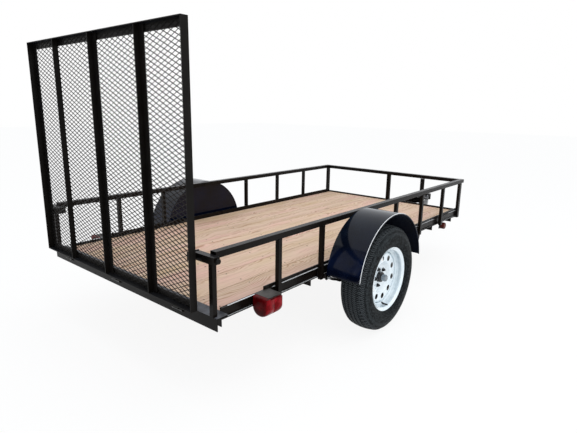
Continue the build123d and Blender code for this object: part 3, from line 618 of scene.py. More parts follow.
NUTS_FROM = 0.044              # the nuts and studs stand outside this radius
CAP_START = 0.031              # bright grease cap, outward from the wheel's middle


def hub_metal(title):
    """Zinc plated hub with black nuts and a black band behind the bright grease cap."""
    finish, tree, shader = new_finish(title)
    place = object_place(tree)
    radius, outward = wheel_polar(tree, place)
    dark = maths(tree, "MAXIMUM", maths(tree, "GREATER_THAN", radius, NUTS_FROM),
                 maths(tree, "LESS_THAN", outward, CAP_START))
    cap = zinc_colour(tree, place, (0.37, 0.41, 0.44), (0.25, 0.28, 0.31))
    fill(tree, shader, {
        "Base Color": blend(tree, dark, cap, (0.010, 0.011, 0.013)),
        "Metallic": minus(tree, 1.0, dark),
        "Roughness": spread(tree, noise(tree, place, 60.0), 0.24, 0.42),
        "Normal": bumped(tree, noise(tree, place, 400.0), 0.06, 0.0006),
    })
    return finish


plated = zinc("zinc_plate")
screw_steel = zinc("screw_steel", (0.20, 0.13, 0.09), (0.10, 0.07, 0.05))
hub_plate = hub_metal("hub_plate")
print("metals:", plated.name, hub_plate.name)

# %% [markdown]
# ## Lamps
# A lens is clear red plastic, moulded with small ribs that spread the light. Clear
# plastic over a dark housing looks deep and saturated, so the finish is a dark red
# with little shine. The faces that look sideways are brighter, with brighter patches:
# that is painted light, for the lit side of the lamp. The ribs are too fine to
# model and too regular for noise, so a wave pattern bends the surface instead. The
# housing is plain moulded plastic.

# %% Lamp finishes
def lens_plastic(title, deep, bright, side_lit, ribs):
    """Clear moulded plastic: ribbed, with painted light on the faces that look sideways."""
    finish, tree, shader = new_finish(title)
    place = object_place(tree)
    wave = add_node(tree, "ShaderNodeTexWave", {"Vector": place, "Scale": ribs}, bands_direction="Z")
    # Painted light: faces that look sideways are brighter, as the lit side of the lamp.
    lit_side = spread(tree, maths(tree, "ABSOLUTE", facing(tree)["Y"]), 0.0, 1.0, 0.45, 0.95)
    body = ramp(tree, noise(tree, place, 22.0, 3.0), [(0.35, deep), (0.70, bright)])
    # Painted highlights: brighter patches on the lit side faces.
    glow = ramp(tree, noise(tree, place, 34.0, 2.0), [(0.38, bright), (0.66, side_lit)])
    fill(tree, shader, {
        "Base Color": blend(tree, lit_side, body, glow),
        "Roughness": spread(tree, noise(tree, place, 90.0), 0.10, 0.20),
        "Normal": bumped(tree, wave.outputs["Fac"], 0.25, 0.0008),
        "Specular IOR Level": 0.06,
    })
    return finish


def moulded_plastic(title, dark, pale):
    """Matt moulded plastic with a fine grain."""
    finish, tree, shader = new_finish(title)
    place = object_place(tree)
    grain = noise(tree, place, 700.0, 2.0)
    fill(tree, shader, {
        "Base Color": ramp(tree, noise(tree, place, 30.0), [(0.3, dark), (0.7, pale)]),
        "Roughness": spread(tree, grain, 0.42, 0.62),
        "Normal": bumped(tree, grain, 0.12, 0.0005),
    })
    return finish


red_lens = lens_plastic("red_lens", (0.045, 0.0004, 0.0010), (0.14, 0.0008, 0.0026),
                        (0.29, 0.006, 0.012), 70.0)
amber_lens = lens_plastic("marker_lens", (0.05, 0.008, 0.006), (0.10, 0.018, 0.013),
                          (0.11, 0.026, 0.018), 90.0)
lamp_grey = moulded_plastic("lamp_grey", (0.014, 0.012, 0.011), (0.046, 0.039, 0.035))
soft_black = moulded_plastic("soft_black", (0.010, 0.010, 0.011), (0.020, 0.020, 0.021))
print("lamp finishes:", red_lens.name, amber_lens.name, lamp_grey.name)

# %% [markdown]
# ## Finish for every solid
# Each solid of the model keeps its shape and gets one of the finishes above. The
# table says which, by the start of the solid's name: whatever it doesn't name is part
# of the painted steel frame.

# %% Dress the solids
DRESSED = {
    "deck_boards": deck_wood, "latch_pins": gate_paint, "coupler_latch": plated, "rear_sill": scuffed_and_sky_lit_paint,
    "jack_leg": plated, "jack_foot": plated, "tail_lamp_lenses": red_lens, "tail_lamp_housings": lamp_grey,
    "marker_lamps": amber_lens, "gate_": gate_paint, "fender_": fender_paint, "rim_": wheel_white,
    "hub_": hub_plate, "tyre_": rubber,
}
for name, solid in nodes.items():
    finish = next((DRESSED[start] for start in DRESSED if name.startswith(start)), frame_paint)
    solid.data.materials.clear()
    solid.data.materials.append(finish)
print("dressed", len(nodes), "solids with", len({made.name for made in DRESSED.values()}) + 1, "finishes")

# %% [markdown]
# ## Expanded metal
# The gate is filled with expanded metal: a sheet that is slit in rows and stretched,
# so that each slit opens to a diamond about 51 mm wide and 23 mm tall. The strands
# twist as it opens, so each one leans. A texture with holes would look right from one
# side only, and a lattice modifier would need a curve for every strand. Here every
# opening is one ring of metal: its outer points lie on the middle lines of the four
# strands round it, shared with its neighbours, and its inner points are moved in by
# half a strand, with the lowest point leaning to the bed and the highest away from it.

# %% Expanded metal
DIAMOND_LONG = 0.0508
DIAMOND_SHORT = 0.0234
STRAND_WIDE = 0.0034
STRAND_THICK = 0.0016
STRAND_LEAN = 0.0011
mesh_low, mesh_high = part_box("gate_mesh")


def diamond_ring(y, z, share):
    """One opening of the lattice as a ring of twelve faces, trimmed to the sheet's edges."""
    long, short = DIAMOND_LONG / 2, DIAMOND_SHORT / 2
    middle = (mesh_low.x + mesh_high.x) / 2
    corners = [(-long, 0.0, 0.0), (0.0, -short, 1.0), (long, 0.0, 0.0), (0.0, short, -1.0)]
    points = []
    for side in (-1, 1):
        for scale, lean in ((1.0, 0.0), (share, STRAND_LEAN)):
            for across, up, tilt in corners:
                points.append((middle + side * STRAND_THICK / 2 + tilt * lean,
                               min(max(y + across * scale, mesh_low.y), mesh_high.y),
                               min(max(z + up * scale, mesh_low.z), mesh_high.z)))
    faces = []
    for corner in range(4):
        after = (corner + 1) % 4
        faces.append((4 + corner, 4 + after, after, corner))
        faces.append((8 + corner, 8 + after, 12 + after, 12 + corner))
        faces.append((4 + corner, 12 + corner, 12 + after, 4 + after))
    return points, faces


def expanded_sheet():
    """All the rings of the gate's expanded metal, row by row."""
    long, short = DIAMOND_LONG / 2, DIAMOND_SHORT / 2
    share = 1 - STRAND_WIDE / 2 / (long * short / math.hypot(long, short))
    columns = int((mesh_high.y - mesh_low.y) / long) + 1
    rows = int((mesh_high.z - mesh_low.z) / short) + 1
    rings = []
    for row in range(rows):
        for column in range(columns):
            if (row + column) % 2 == 0:
                rings.append(diamond_ring(mesh_low.y + column * long, mesh_low.z + row * short, share))
    return rings


rings = expanded_sheet()
lattice = add_piece("expanded_metal", *gathered(rings), gate_paint, "gate_paint", "ramp_gate")
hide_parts("gate_mesh")
print("expanded metal:", len(rings), "openings,", len(lattice.data.polygons) * 2, "triangles")

# %% [markdown]
# ## Tyres
# A trailer tyre has plain ribs parted by grooves that run right round, and short
# cuts across each shoulder. Its outline is turned about the axle, like the solid's,
# but in a grid: one direction follows the section, the other goes round. The grooves
# are steps in the section, and the cuts push the shoulder's points in at some angles
# only. The columns of the grid stand close together at the walls of each cut, so that
# they stay crisp without a dense mesh everywhere else.

# %% Tyre section
TYRE_RADIUS = wheel_centre.z
TYRE_HALF = (wheel_high.y - wheel_low.y) / 2
TREAD_HALF = 0.062
TREAD_DROP = 0.0075            # fall of the tread from its middle to its edge
GROOVES = (0.014, 0.042)       # middles of the grooves on each half
GROOVE_HALF = 0.0040
GROOVE_DEEP = 0.0065
GROOVE_WALL = 0.0008
WALL_RIDGES = ((0.2960, 0.3000), (0.2290, 0.2320))    # radii of the raised rings on the wall
RIDGE_HIGH = 0.0009
SHOULDER = (0.314, 0.338)      # radii over which the cuts get their full depth
SIDE_WALL = [(0.1910, 0.0655), (0.2100, 0.0723), (0.2135, 0.0795), (0.2250, 0.0865), (0.2420, 0.0922),
             (0.2620, 0.0938), (0.2850, 0.0925), (0.3050, 0.0872), (0.3190, 0.0803), (0.3290, 0.0720)]


def curve_through(stations, cuts):
    """Points of a smooth curve through the stations, with that many pieces between two."""
    ends = [stations[0]] + stations + [stations[-1]]
    points = []
    for first, second, third, fourth in zip(ends, ends[1:], ends[2:], ends[3:]):
        for cut in range(cuts):
            s = cut / cuts
            points.append(tuple(0.5 * (2 * b + (c - a) * s + (2 * a - 5 * b + 4 * c - d) * s * s
                                       + (3 * b - a - 3 * c + d) * s ** 3)
                                for a, b, c, d in zip(first, second, third, fourth)))
    return points


def tread_radius(offset):
    """Radius of the tread's face at an offset from its middle."""
    return TYRE_RADIUS - TREAD_DROP * (offset / TREAD_HALF) ** 2


def half_section():
    """Points (radius, offset, cut depth) of half a tyre, from the bead to the middle of the tread."""
    section = []
    for radius, offset in curve_through(SIDE_WALL, 4):
        ridge = RIDGE_HIGH if any(start < radius < end for start, end in WALL_RIDGES) else 0.0
        shoulder = max(0.0, (radius - SHOULDER[0]) / (SHOULDER[1] - SHOULDER[0]))
        section.append((radius, min(offset + ridge, TYRE_HALF), min(1.0, shoulder)))
    section.append((tread_radius(TREAD_HALF), TREAD_HALF, 1.0))
    for groove in reversed(GROOVES):
        rib_end = groove + GROOVE_HALF
        for offset, deep in ((rib_end + GROOVE_WALL, 0), (rib_end, 1), (groove - GROOVE_HALF, 1),
                             (groove - GROOVE_HALF - GROOVE_WALL, 0)):
            cut = 1.0 if offset > GROOVES[1] and not deep else 0.0
            section.append((tread_radius(offset) - deep * GROOVE_DEEP, offset, cut))
    return section


section = half_section()
full_section = section + [(r, -t, cut) for r, t, cut in reversed(section)]
print("tyre section has", len(full_section), "points")

# %% Tyre meshes
CUTS_ROUND = 70
CUT_DEEP = 0.0050
CUT_COLUMNS = [(0.00, 1.0), (0.20, 1.0), (0.25, 0.0), (0.60, 0.0), (0.95, 0.0)]
CUT_SLANT = 0.35               # how far a cut leans round the tyre on its way across the shoulder


def tyre_mesh(centre_y):
    """Points and faces of one tyre about its wheel's centre."""
    points, faces = [], []
    columns = [(step + share, cut) for step in range(CUTS_ROUND) for share, cut in CUT_COLUMNS]
    for step, open_cut in columns:
        for radius, offset, take in full_section:
            lean = CUT_SLANT * (abs(offset) - TREAD_HALF) / TREAD_HALF
            angle = 2 * math.pi * (step + lean * take) / CUTS_ROUND
            r = radius - CUT_DEEP * take * open_cut
            points.append((wheel_centre.x + r * math.sin(angle), centre_y + offset,
                           wheel_centre.z + r * math.cos(angle)))
    size, total = len(full_section), len(columns)
    for column in range(total):
        here, there = column * size, (column + 1) % total * size
        for row in range(size):
            after = (row + 1) % size
            faces.append((here + row, there + row, there + after, here + after))
    return points, faces


for side, hand in SIDES:
    tyre = add_piece(f"treaded_tyre_{side}", *tyre_mesh(wheel_at(hand).y), rubber, "tyre_rubber",
                     f"wheel_{side}")
    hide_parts(f"tyre_{side}")
    print(tyre.name, len(tyre.data.polygons) * 2, "triangles")

# %% [markdown]
# ## Valve stems
# Each wheel has a rubber valve stem with a plastic cap that points outward through
# the rim, near its flange. It is round and stepped, so its outline is turned about
# its own axis, which is the quickest way to make any turned piece.

# %% Valve stems
VALVE_RADIUS = 0.1785          # from the wheel's axis
VALVE_AHEAD = 0.004            # from straight below the axis
VALVE_PROFILE = [(0.030, 0.0090), (0.036, 0.0090), (0.041, 0.0058), (0.058, 0.0048), (0.059, 0.0052),
                 (0.074, 0.0050), (0.0765, 0.0036), (0.0768, 0.0001)]
for side, hand in SIDES:
    foot = wheel_at(hand) + Vector((VALVE_AHEAD, 0.0, -VALVE_RADIUS))
    add_piece(f"valve_stem_{side}", *lathe(VALVE_PROFILE, foot, (0, hand, 0), 20), soft_black,
              "tyre_rubber", f"wheel_{side}", smooth=True)
print("valve stems at radius", VALVE_RADIUS)

# %% [markdown]
# ## Deck screws
# Two self-drilling screws hold each plank to each crossmember. A head is a shallow
# dome with a recess, only a little proud of the wood. All of them are one mesh,
# placed where the planks cross the crossmembers' flat legs.

# %% Deck screws
SCREW_PROFILE = [(0.0001, 0.0050), (0.0007, 0.0045), (0.0009, 0.0030), (0.0003, 0.0018), (0.0002, 0.0001)]
SCREW_IN = 0.032               # from the plank's edge
deck_top = boards[0][1].z
screws = []
for member_low, member_high in crossmembers:
    for plank_low, plank_high in boards:
        for y in (plank_low.y + SCREW_IN, plank_high.y - SCREW_IN):
            at = ((member_low.x + member_high.x) / 2, y, deck_top)
            screws.append(lathe(SCREW_PROFILE, at, (0, 0, 1), 12))
add_piece("deck_screws", *gathered(screws), screw_steel, "galvanized_steel", "chassis", smooth=True)
print("deck screws:", len(screws))

# %% [markdown]
# ## Welds
# The posts are fillet welded to the rails and the frame. A hand-made bead is a row of
# overlapping ripples. A bead follows a path: short steps along the path carry a small
# ring whose radius swells and shrinks in a steady rhythm, with a slow drift so that
# the ripples aren't all alike. The path goes right round each post's top, and
# straight up along its sides where it meets the frame.

# %% Weld beads
BEAD_RADIUS = 0.0030
RIPPLE = 0.0055                # length of one ripple
SWELL = 0.86                   # share of the radius, about which the ripples swing
RIPPLE_SWING = 0.16
DRIFT = 0.07
DRIFT_RATE = 0.73              # radians of the slow drift in one ripple
BEAD_STEP = RIPPLE / 3
BEAD_SIDES = 6
WELD_ABOVE = 0.010             # the beads on the frame's side start this far above a post's foot
FRONT_WELD = (0.060, 0.004)    # upper and lower end of the front post's bead, above its foot


def weld_bead(path, closed=True):
    """A rippled bead along a path of corners."""
    corners = [Vector(corner) for corner in path]
    pairs = list(zip(corners, corners[1:] + corners[:1] if closed else corners[1:]))
    points, faces, travelled, count = [], [], 0.0, 0
    for start, end in pairs:
        length = (end - start).length
        ahead = (end - start).normalized()
        beside = ahead.orthogonal().normalized()
        above = ahead.cross(beside)
        first = count
        for step in range(int(length / BEAD_STEP) + 1):
            at = min(step * BEAD_STEP, length)
            phase = (travelled + at) / RIPPLE
            swell = (SWELL + RIPPLE_SWING * math.cos(2 * math.pi * phase)
                     + DRIFT * math.sin(phase * DRIFT_RATE))
            for turn in range(BEAD_SIDES):
                angle = 2 * math.pi * turn / BEAD_SIDES
                spoke = beside * math.cos(angle) + above * math.sin(angle)
                points.append(start + ahead * at + spoke * BEAD_RADIUS * swell)
            count += 1
        faces += skin(count - first, BEAD_SIDES, first * BEAD_SIDES)
        travelled += length
    return points, faces


beads = []
for side in ("left", "right"):
    for low, high in posts[side]:
        beads.append(weld_bead([(low.x, low.y, high.z), (high.x, low.y, high.z),
                                (high.x, high.y, high.z), (low.x, high.y, high.z)]))
frame_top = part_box("side_frame_right")[1].z
for side in ("left", "right"):
    for low, high in posts[side][1:-1]:
        inner = low.y if side == "left" else high.y
        for x in (low.x, high.x):
            beads.append(weld_bead([(x, inner, low.z + WELD_ABOVE), (x, inner, frame_top)], closed=False))
for low, high in solid_boxes("post_front"):
    beads.append(weld_bead([(low.x, low.y, low.z + above) for above in FRONT_WELD], closed=False))
add_piece("weld_beads", *gathered(beads), frame_paint, "black_paint", "chassis", smooth=True)
print("weld beads:", len(beads))

# %% [markdown]
# ## Nuts and bolts
# The running gear, the jack and the coupler are bolted on. A fastener is a washer
# under a hexagon with a chamfered top, and a short end of thread beyond it. One
# function makes it along any axis, so every fastener is only a place and a direction.

# %% Fasteners
def hex_nut(at, axis, size):
    """A washer, a chamfered hexagon and a stub of thread, that stand on a face at a point."""
    washer = [(0.0, 1.25), (0.22, 1.25), (0.22, 0.5)]
    hexagon = [(0.22, 1.0), (1.05, 1.0), (1.22, 0.86), (1.22, 0.5)]
    thread = [(1.0, 0.5), (1.7, 0.5), (1.8, 0.42), (1.8, 0.0001 / size)]
    return gathered([lathe([(along * size, radius * size) for along, radius in profile], at, axis, steps)
                     for profile, steps in ((washer, 24), (hexagon, 6), (thread, 16))])


fasteners = []
U_BOLT_IN = 0.006              # the U-bolts' middles in from the plate's edge
U_BOLT_HALF = 0.035            # from the axle's middle
U_BOLT_UP = 0.010              # the nuts' foot, above the clamp's lowest point
U_BOLT_NUT = 0.009             # a nut's size is the distance from its middle to a corner
EYE_NUT = 0.010
EYE_ABOVE = 0.018              # a spring's eye, above the hanger's foot
SEATED = 0.002                 # a washer's foot lies this far inside the face it stands on
for side in ("left", "right"):
    for low, high in solid_boxes(f"spring_hangers_{side}"):
        middle = (low.x + high.x) / 2
        for y, way in ((low.y + SEATED, -1), (high.y - SEATED, 1)):
            fasteners.append(hex_nut((middle, y, low.z + EYE_ABOVE), (0, way, 0), EYE_NUT))
    clamp_low, clamp_high = solid_boxes(f"axle_clamp_{side}")[0]
    for x in (wheel_centre.x - U_BOLT_HALF, wheel_centre.x + U_BOLT_HALF):
        for y in (clamp_low.y + U_BOLT_IN, clamp_high.y - U_BOLT_IN):
            fasteners.append(hex_nut((x, y, clamp_low.z + U_BOLT_UP), (0, 0, -1), U_BOLT_NUT))
print("running gear fasteners:", len(fasteners))

# %% Jack and coupler fasteners
jack_low, jack_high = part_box("jack_body")
jack_at = (jack_low + jack_high) / 2
COLLAR_RISE = 0.008            # top of the collar above the plate
COLLAR_BOLTS = 0.033           # from the jack's axis
COLLAR_NUT = 0.0055
COUPLER_NUT = 0.008
collar_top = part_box("tongue_plate")[1].z + COLLAR_RISE
for degrees in (60, 180, 300):
    angle = math.radians(degrees)
    at = (jack_at.x + COLLAR_BOLTS * math.cos(angle), jack_at.y + COLLAR_BOLTS * math.sin(angle), collar_top)
    fasteners.append(hex_nut(at, (0, 0, 1), COLLAR_NUT))
COUPLER_BOLTS = (0.024, 0.046, 0.006)    # ahead of its rear, to each side, and above the legs
ahead, aside, above = COUPLER_BOLTS
coupler_rear, leg_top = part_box("coupler")[0].x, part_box("tongue_leg_left")[1].z
for hand in (-1, 1):
    fasteners.append(hex_nut((coupler_rear + ahead, hand * aside, leg_top + above), (0, 0, 1),
                             COUPLER_NUT))
add_piece("fasteners", *gathered(fasteners), plated, "galvanized_steel", "chassis")
print("all fasteners:", len(fasteners))

# %% [markdown]
# ## Wheels
# A pressed steel wheel is a rim with a drop centre and a dished disc with a ring of
# round holes, whose lips are rolled. The rim is turned from its section. The disc
# can't be, because of its holes, and cutting them with a boolean leaves ragged
# shading round each. So the band with the holes is made of equal sectors, and each
# sector is a fan of quads from a round hole to its four-sided border.

# %% Disc with holes
HOLES = 10
HOLE_RING = 0.131
HOLE_RADIUS = 0.0185
HOLE_PHASE = 30.0              # degrees from the top to the first hole
BAND = (0.1075, 0.1545)        # the radii between which the holes lie
DISC_SECTION = [(0.0360, 0.0040), (0.0780, 0.0040), (0.0840, 0.0060), (0.1000, 0.0262), (0.1040, 0.0290),
                (0.1075, 0.0300), (0.1545, 0.0300), (0.1595, 0.0285), (0.1650, 0.0235), (0.1700, 0.0120)]
INSIDE = 6                     # points of the section up to the band's inner edge
SHEET = 0.0028
BORDER = 8                     # points along each side of a sector
HOLE_LIP = ((1.14, 0.0), (1.04, 0.0003), (1.0, 0.0010), (1.08, SHEET))    # share of the radius, and depth
SHARP_WHEEL = math.radians(35)


def sector_border(middle):
    """Polar points (radius, angle) round one sector, in the order of the hole's points."""
    half = math.pi / HOLES
    corners = [(BAND[1], middle - half), (BAND[1], middle + half), (BAND[0], middle + half),
               (BAND[0], middle - half)]
    border = []
    for (r0, a0), (r1, a1) in zip(corners, corners[1:] + corners[:1]):
        border.extend((r0 + (r1 - r0) * k / BORDER, a0 + (a1 - a0) * k / BORDER) for k in range(BORDER))
    return border


def disc_band(centre, hand):
    """Points and faces of the disc's band with its ring of holes."""
    points, faces = [], []
    face_out = DISC_SECTION[INSIDE - 1][1]
    for number in range(HOLES):
        middle = math.radians(HOLE_PHASE) + 2 * math.pi * number / HOLES
        hole = Vector((HOLE_RING * math.sin(middle), HOLE_RING * math.cos(middle)))
        border = [Vector((r * math.sin(a), r * math.cos(a))) for r, a in sector_border(middle)]
        rings = [[(point, face_out) for point in border]]
        for reach, deep in HOLE_LIP:
            rings.append([(hole + (point - hole).normalized() * HOLE_RADIUS * reach, face_out - deep)
                          for point in border])
        start, size = len(points), len(border)
        for ring in rings:
            points.extend((centre.x + spot.x, centre.y + hand * out, centre.z + spot.y) for spot, out in ring)
        faces += skin(len(rings), size, start)
    return points, faces


print("disc band: sectors", HOLES, "border points", BORDER * 4)

# %% Wheels
RIM_SECTION = [(0.2090, 0.0780), (0.2090, 0.0730), (0.1905, 0.0670), (0.1905, 0.0450), (0.1730, 0.0320),
               (0.1730, -0.0020), (0.1905, -0.0240), (0.1905, -0.0670), (0.2090, -0.0730), (0.2090, -0.0780),
               (0.2060, -0.0780), (0.1875, -0.0700), (0.1875, -0.0230), (0.1700, -0.0005), (0.1700, 0.0305),
               (0.1875, 0.0460), (0.1875, 0.0675), (0.1905, 0.0705), (0.2020, 0.0745), (0.2050, 0.0780),
               (0.2070, 0.0788), (0.2090, 0.0780)]
front = [(out, radius) for radius, out in DISC_SECTION]
back = [(out - SHEET, radius) for radius, out in reversed(DISC_SECTION)]
rim = [(out, radius) for radius, out in RIM_SECTION]
for side, hand in SIDES:
    hub_at = wheel_at(hand)
    turned = [front[:INSIDE], front[INSIDE:] + back[:-INSIDE], back[-INSIDE:] + front[:1], rim]
    shapes = [lathe(profile, hub_at, (0, hand, 0), 80) for profile in turned]
    shapes.append(disc_band(hub_at, hand))
    wheel = add_piece(f"pressed_wheel_{side}", *gathered(shapes), wheel_white, "white_wheel_paint",
                      f"wheel_{side}", smooth=True)
    wheel.data.set_sharp_from_angle(angle=SHARP_WHEEL)
    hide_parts(f"rim_{side}")
    print(wheel.name, len(wheel.data.polygons), "faces")

# %% [markdown]
# ## Hubs
# Five studs with black nuts stand round the barrel of the hub, and a bright grease
# cap is pressed into its end. Everything is turned except the nuts, which come from
# the same function as the other fasteners.

# %% Hubs
HUB_SECTION = [(-0.075, 0.0210), (-0.075, 0.042), (-0.024, 0.042), (-0.016, 0.072), (-0.0002, 0.072),
               (-0.0002, 0.034), (0.022, 0.034), (0.026, 0.031), (0.0265, 0.0245), (0.030, 0.0240),
               (0.031, 0.0222), (0.052, 0.0222), (0.0565, 0.0200), (0.059, 0.0150), (0.0595, 0.0080),
               (0.0595, 0.0001)]
STUDS = 5
WHEEL_NUT = 0.0105
STUD_RING = 0.05715
STUD_PHASE = 52.0              # degrees from the top to the first stud
STUD_OUT = 0.0042              # the nuts' foot, outward from the wheel's middle
for side, hand in SIDES:
    hub_at = wheel_at(hand)
    shapes = [lathe(HUB_SECTION, hub_at, (0, hand, 0), 64)]
    for number in range(STUDS):
        angle = math.radians(STUD_PHASE + 360.0 / STUDS * number)
        foot = hub_at + Vector((STUD_RING * math.sin(angle), hand * STUD_OUT, STUD_RING * math.cos(angle)))
        shapes.append(hex_nut(foot, (0, hand, 0), WHEEL_NUT))
    hub = add_piece(f"turned_hub_{side}", *gathered(shapes), hub_plate, "galvanized_steel", f"wheel_{side}",
                    smooth=True)
    hub.data.set_sharp_from_angle(angle=SHARP_WHEEL)
    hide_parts(f"hub_{side}")
    print(hub.name, len(hub.data.polygons), "faces")

# %% [markdown]
# ## Tail lamps
# A tail lamp is a red lens over a black base, and it wraps round from the rear to the
# side so that both show a light. A moulding has no sharp corner anywhere: the lower
# corners have a wide radius, the other edges a small one, and the faces bulge a
# little. A bevel modifier gives every edge one radius, so the lens is built as a
# stack of rounded outlines instead, which shrink towards the front and the rear.

# %% Tail lamp lenses
LENS_ROUND = 0.050             # lower corners
LENS_REAR = 0.029              # how far the lens stands out past its plate to the rear
LENS_OUT = 0.014               # and to the side
LENS_RISE = 0.007              # the part behind the plate is this much taller
LENS_PAST = 0.003              # past the solid's inner edge
LENS_UP = 0.003                # the lower edge lies this far above the solid's
INNER_SHARE = 0.6              # the inner edge moves in by this share of an inset
TOP_SHARE = 0.7                # and the upper edge by this share
SHARP_LENS = math.radians(40)
OUTLINE_STEPS = 10
TIGHTEST = 0.018               # the lower corners are never rounded less than this


def lens_outline(low, high, hand, inset, rise):
    """Points (y, z) of the lens seen from behind, drawn in by an inset."""
    inner, outer = (low.y, high.y) if hand > 0 else (high.y, low.y)
    inner, outer = inner + hand * (inset * INNER_SHARE - LENS_PAST), outer + hand * (LENS_OUT - inset)
    bottom, top = low.z + LENS_UP + inset, high.z + rise - inset * TOP_SHARE
    rounding = max(TIGHTEST, LENS_ROUND - inset)
    points = [(inner, top), (outer, top)]
    for start, centre_y in ((0.0, outer - hand * rounding), (90.0, inner + hand * rounding)):
        for step in range(OUTLINE_STEPS + 1):
            angle = math.radians(start + 90.0 * step / OUTLINE_STEPS)
            points.append((centre_y + hand * rounding * math.cos(angle),
                           bottom + rounding * (1 - math.sin(angle))))
    return points


def tail_lens(low, high, hand):
    """Points and faces of one lens: rounded outlines from its rear face to its front face."""
    depth = high.x - low.x
    layers = [(-1.00, 0.030, 1), (-0.985, 0.022, 1), (-0.94, 0.013, 1), (-0.85, 0.007, 1), (-0.70, 0.0030, 1),
              (-0.45, 0.0008, 1), (-0.02, 0.0, 1), (-0.02, 0.0, 0)]
    layers = [(along * LENS_REAR, inset, rise * LENS_RISE) for along, inset, rise in layers]
    layers += [(depth * 0.30, 0.0, 0.0), (depth * 0.32, 0.0016, 0.0), (depth * 0.34, 0.0, 0.0),
               (depth * 0.80, 0.0, 0.0), (depth - 0.006, 0.002, 0.0), (depth, 0.008, 0.0)]
    points = []
    for offset, inset, rise in layers:
        points.extend((low.x + offset, y, z) for y, z in lens_outline(low, high, hand, inset, rise))
    size = len(points) // len(layers)
    faces = skin(len(layers), size)
    faces.append(tuple(range(size)))
    faces.append(tuple(reversed(range((len(layers) - 1) * size, len(layers) * size))))
    return points, faces


lens_boxes = solid_boxes("tail_lamp_lenses")
lenses = [tail_lens(low, high, 1 if low.y > 0 else -1) for low, high in lens_boxes]
lens_piece = add_piece("tail_lenses", *gathered(lenses), red_lens, "red_lens", "chassis", smooth=True)
lens_piece.data.set_sharp_from_angle(angle=SHARP_LENS)
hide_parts("tail_lamp_lenses")
print("tail lenses:", len(lens_piece.data.polygons), "faces")

# %% [markdown]
# ## Marker rings
# Each side marker is pushed into a rubber grommet, which shows as a thin black ring
# round its foot. The ring is a flat outline that closes in at its front, turned about
# the marker's axis.

# %% Marker rings
RING_THICK = 0.0006
RING_WIDE = (0.008, 0.010)     # where the ring starts to close in, and where it ends
marker_rings = []
for low, high in solid_boxes("marker_lamps"):
    hand = 1 if low.y > 0 else -1
    base = low.y if hand > 0 else high.y
    radius = (high.x - low.x) / 2
    at = ((low.x + high.x) / 2, base, (low.z + high.z) / 2)
    profile = [(0.0, radius), (0.0, radius + RING_THICK), (RING_WIDE[0], radius + RING_THICK),
               (RING_WIDE[1], radius)]
    marker_rings.append(lathe(profile, at, (0, hand, 0), 40))
add_piece("marker_rings", *gathered(marker_rings), soft_black, "lamp_plastic", "chassis", smooth=True)
print("marker rings:", len(marker_rings))

# %% [markdown]
# ## Painted edge highlights
# The long outer edges catch the sky as thin pale lines: the two lips of each side frame
# and the rolled edge of each fender. These highlights are painted: a pale line could be
# painted by a curvature mask, but on an edge of a few millimetres a thin rounded film of
# its own is cleaner. Its finish breaks up along its length, so the painted highlight
# comes and goes.

# %% Edge highlight finish
def edge_highlight_finish(title, highlight, cover, breakup):
    """A painted highlight: a pale colour over black paint in patches along an edge."""
    finish, tree, shader = new_finish(title)
    place = object_place(tree)
    patches = spread(tree, noise(tree, place, 3.2, 2.0), 0.0, 1.0, *breakup)
    fine_breakup = spread(tree, noise(tree, place, 150.0, 3.0), 0.72, 1.0)
    fill(tree, shader, {
        "Base Color": blend(tree, times(tree, patches, fine_breakup), cover, highlight),
        "Roughness": spread(tree, noise(tree, place, 60.0), 0.22, 0.40),
        "Normal": bumped(tree, noise(tree, place, 220.0), 0.10, 0.0004),
        "Specular IOR Level": 0.5,
    })
    return finish


# Pale lines along the edges are painted highlights, not bare steel.
lip_highlight = edge_highlight_finish("lip_highlight", (0.78, 0.79, 0.80), (0.012, 0.011, 0.010), (0.45, 0.50))
foot_highlight = edge_highlight_finish("foot_highlight", (0.70, 0.71, 0.72), (0.012, 0.011, 0.010), (0.38, 0.52))
bead_highlight = edge_highlight_finish("bead_highlight", (0.95, 0.96, 0.97), (0.26, 0.27, 0.28), (0.26, 0.50))
print("edge highlight finishes:", lip_highlight.name, foot_highlight.name, bead_highlight.name)

# %% Lip highlights
def bar_along_x(start, end, y, z, half_wide, half_tall):
    """A bar along X with a chamfered section, between two stations."""
    outline = [(-1.0, -0.4), (-0.5, -1.0), (0.5, -1.0), (1.0, -0.4),
               (1.0, 0.4), (0.5, 1.0), (-0.5, 1.0), (-1.0, 0.4)]
    points = [(x, y + a * half_wide, z + b * half_tall) for x in (start, end) for a, b in outline]
    return points, capped_skin(2, len(outline))


LIP_WIDE = 0.012
LIP_LINE_IN = LIP_WIDE * 0.45  # the lines' middles, in from the frame's outer face
FOOT_LINE_IN = LIP_WIDE * 0.55
LIP_LINE = (0.0045, 0.0005)    # half the width and half the height of a line
FOOT_LINE = (0.0034, 0.0004)
LIP_PROUD = 0.0001
LIP_IN = 0.040                 # the painted highlight lines start this far from the bed's rear end
FOOT_BELOW_DECK = 0.0378       # top face of the lower lip
lips, feet = [], []
for side, hand in SIDES:
    low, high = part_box(f"side_frame_{side}")
    outer = high.y if hand > 0 else low.y
    rear, front = low.x + LIP_IN, high.x - LIP_IN
    lips.append(bar_along_x(rear, front, outer - hand * LIP_LINE_IN, high.z + LIP_PROUD, *LIP_LINE))
    feet.append(bar_along_x(rear, front, outer - hand * FOOT_LINE_IN, deck_top - FOOT_BELOW_DECK, *FOOT_LINE))
# Painted highlights along the upper and lower lips of each side frame.
add_piece("lip_highlight_lines", *gathered(lips), lip_highlight, "galvanized_steel", "chassis")
add_piece("foot_highlight_lines", *gathered(feet), foot_highlight, "galvanized_steel", "chassis")
print("lip highlight lines:", len(lips), "outer edge", round(outer, 4), "foot", round(deck_top - FOOT_BELOW_DECK, 4))

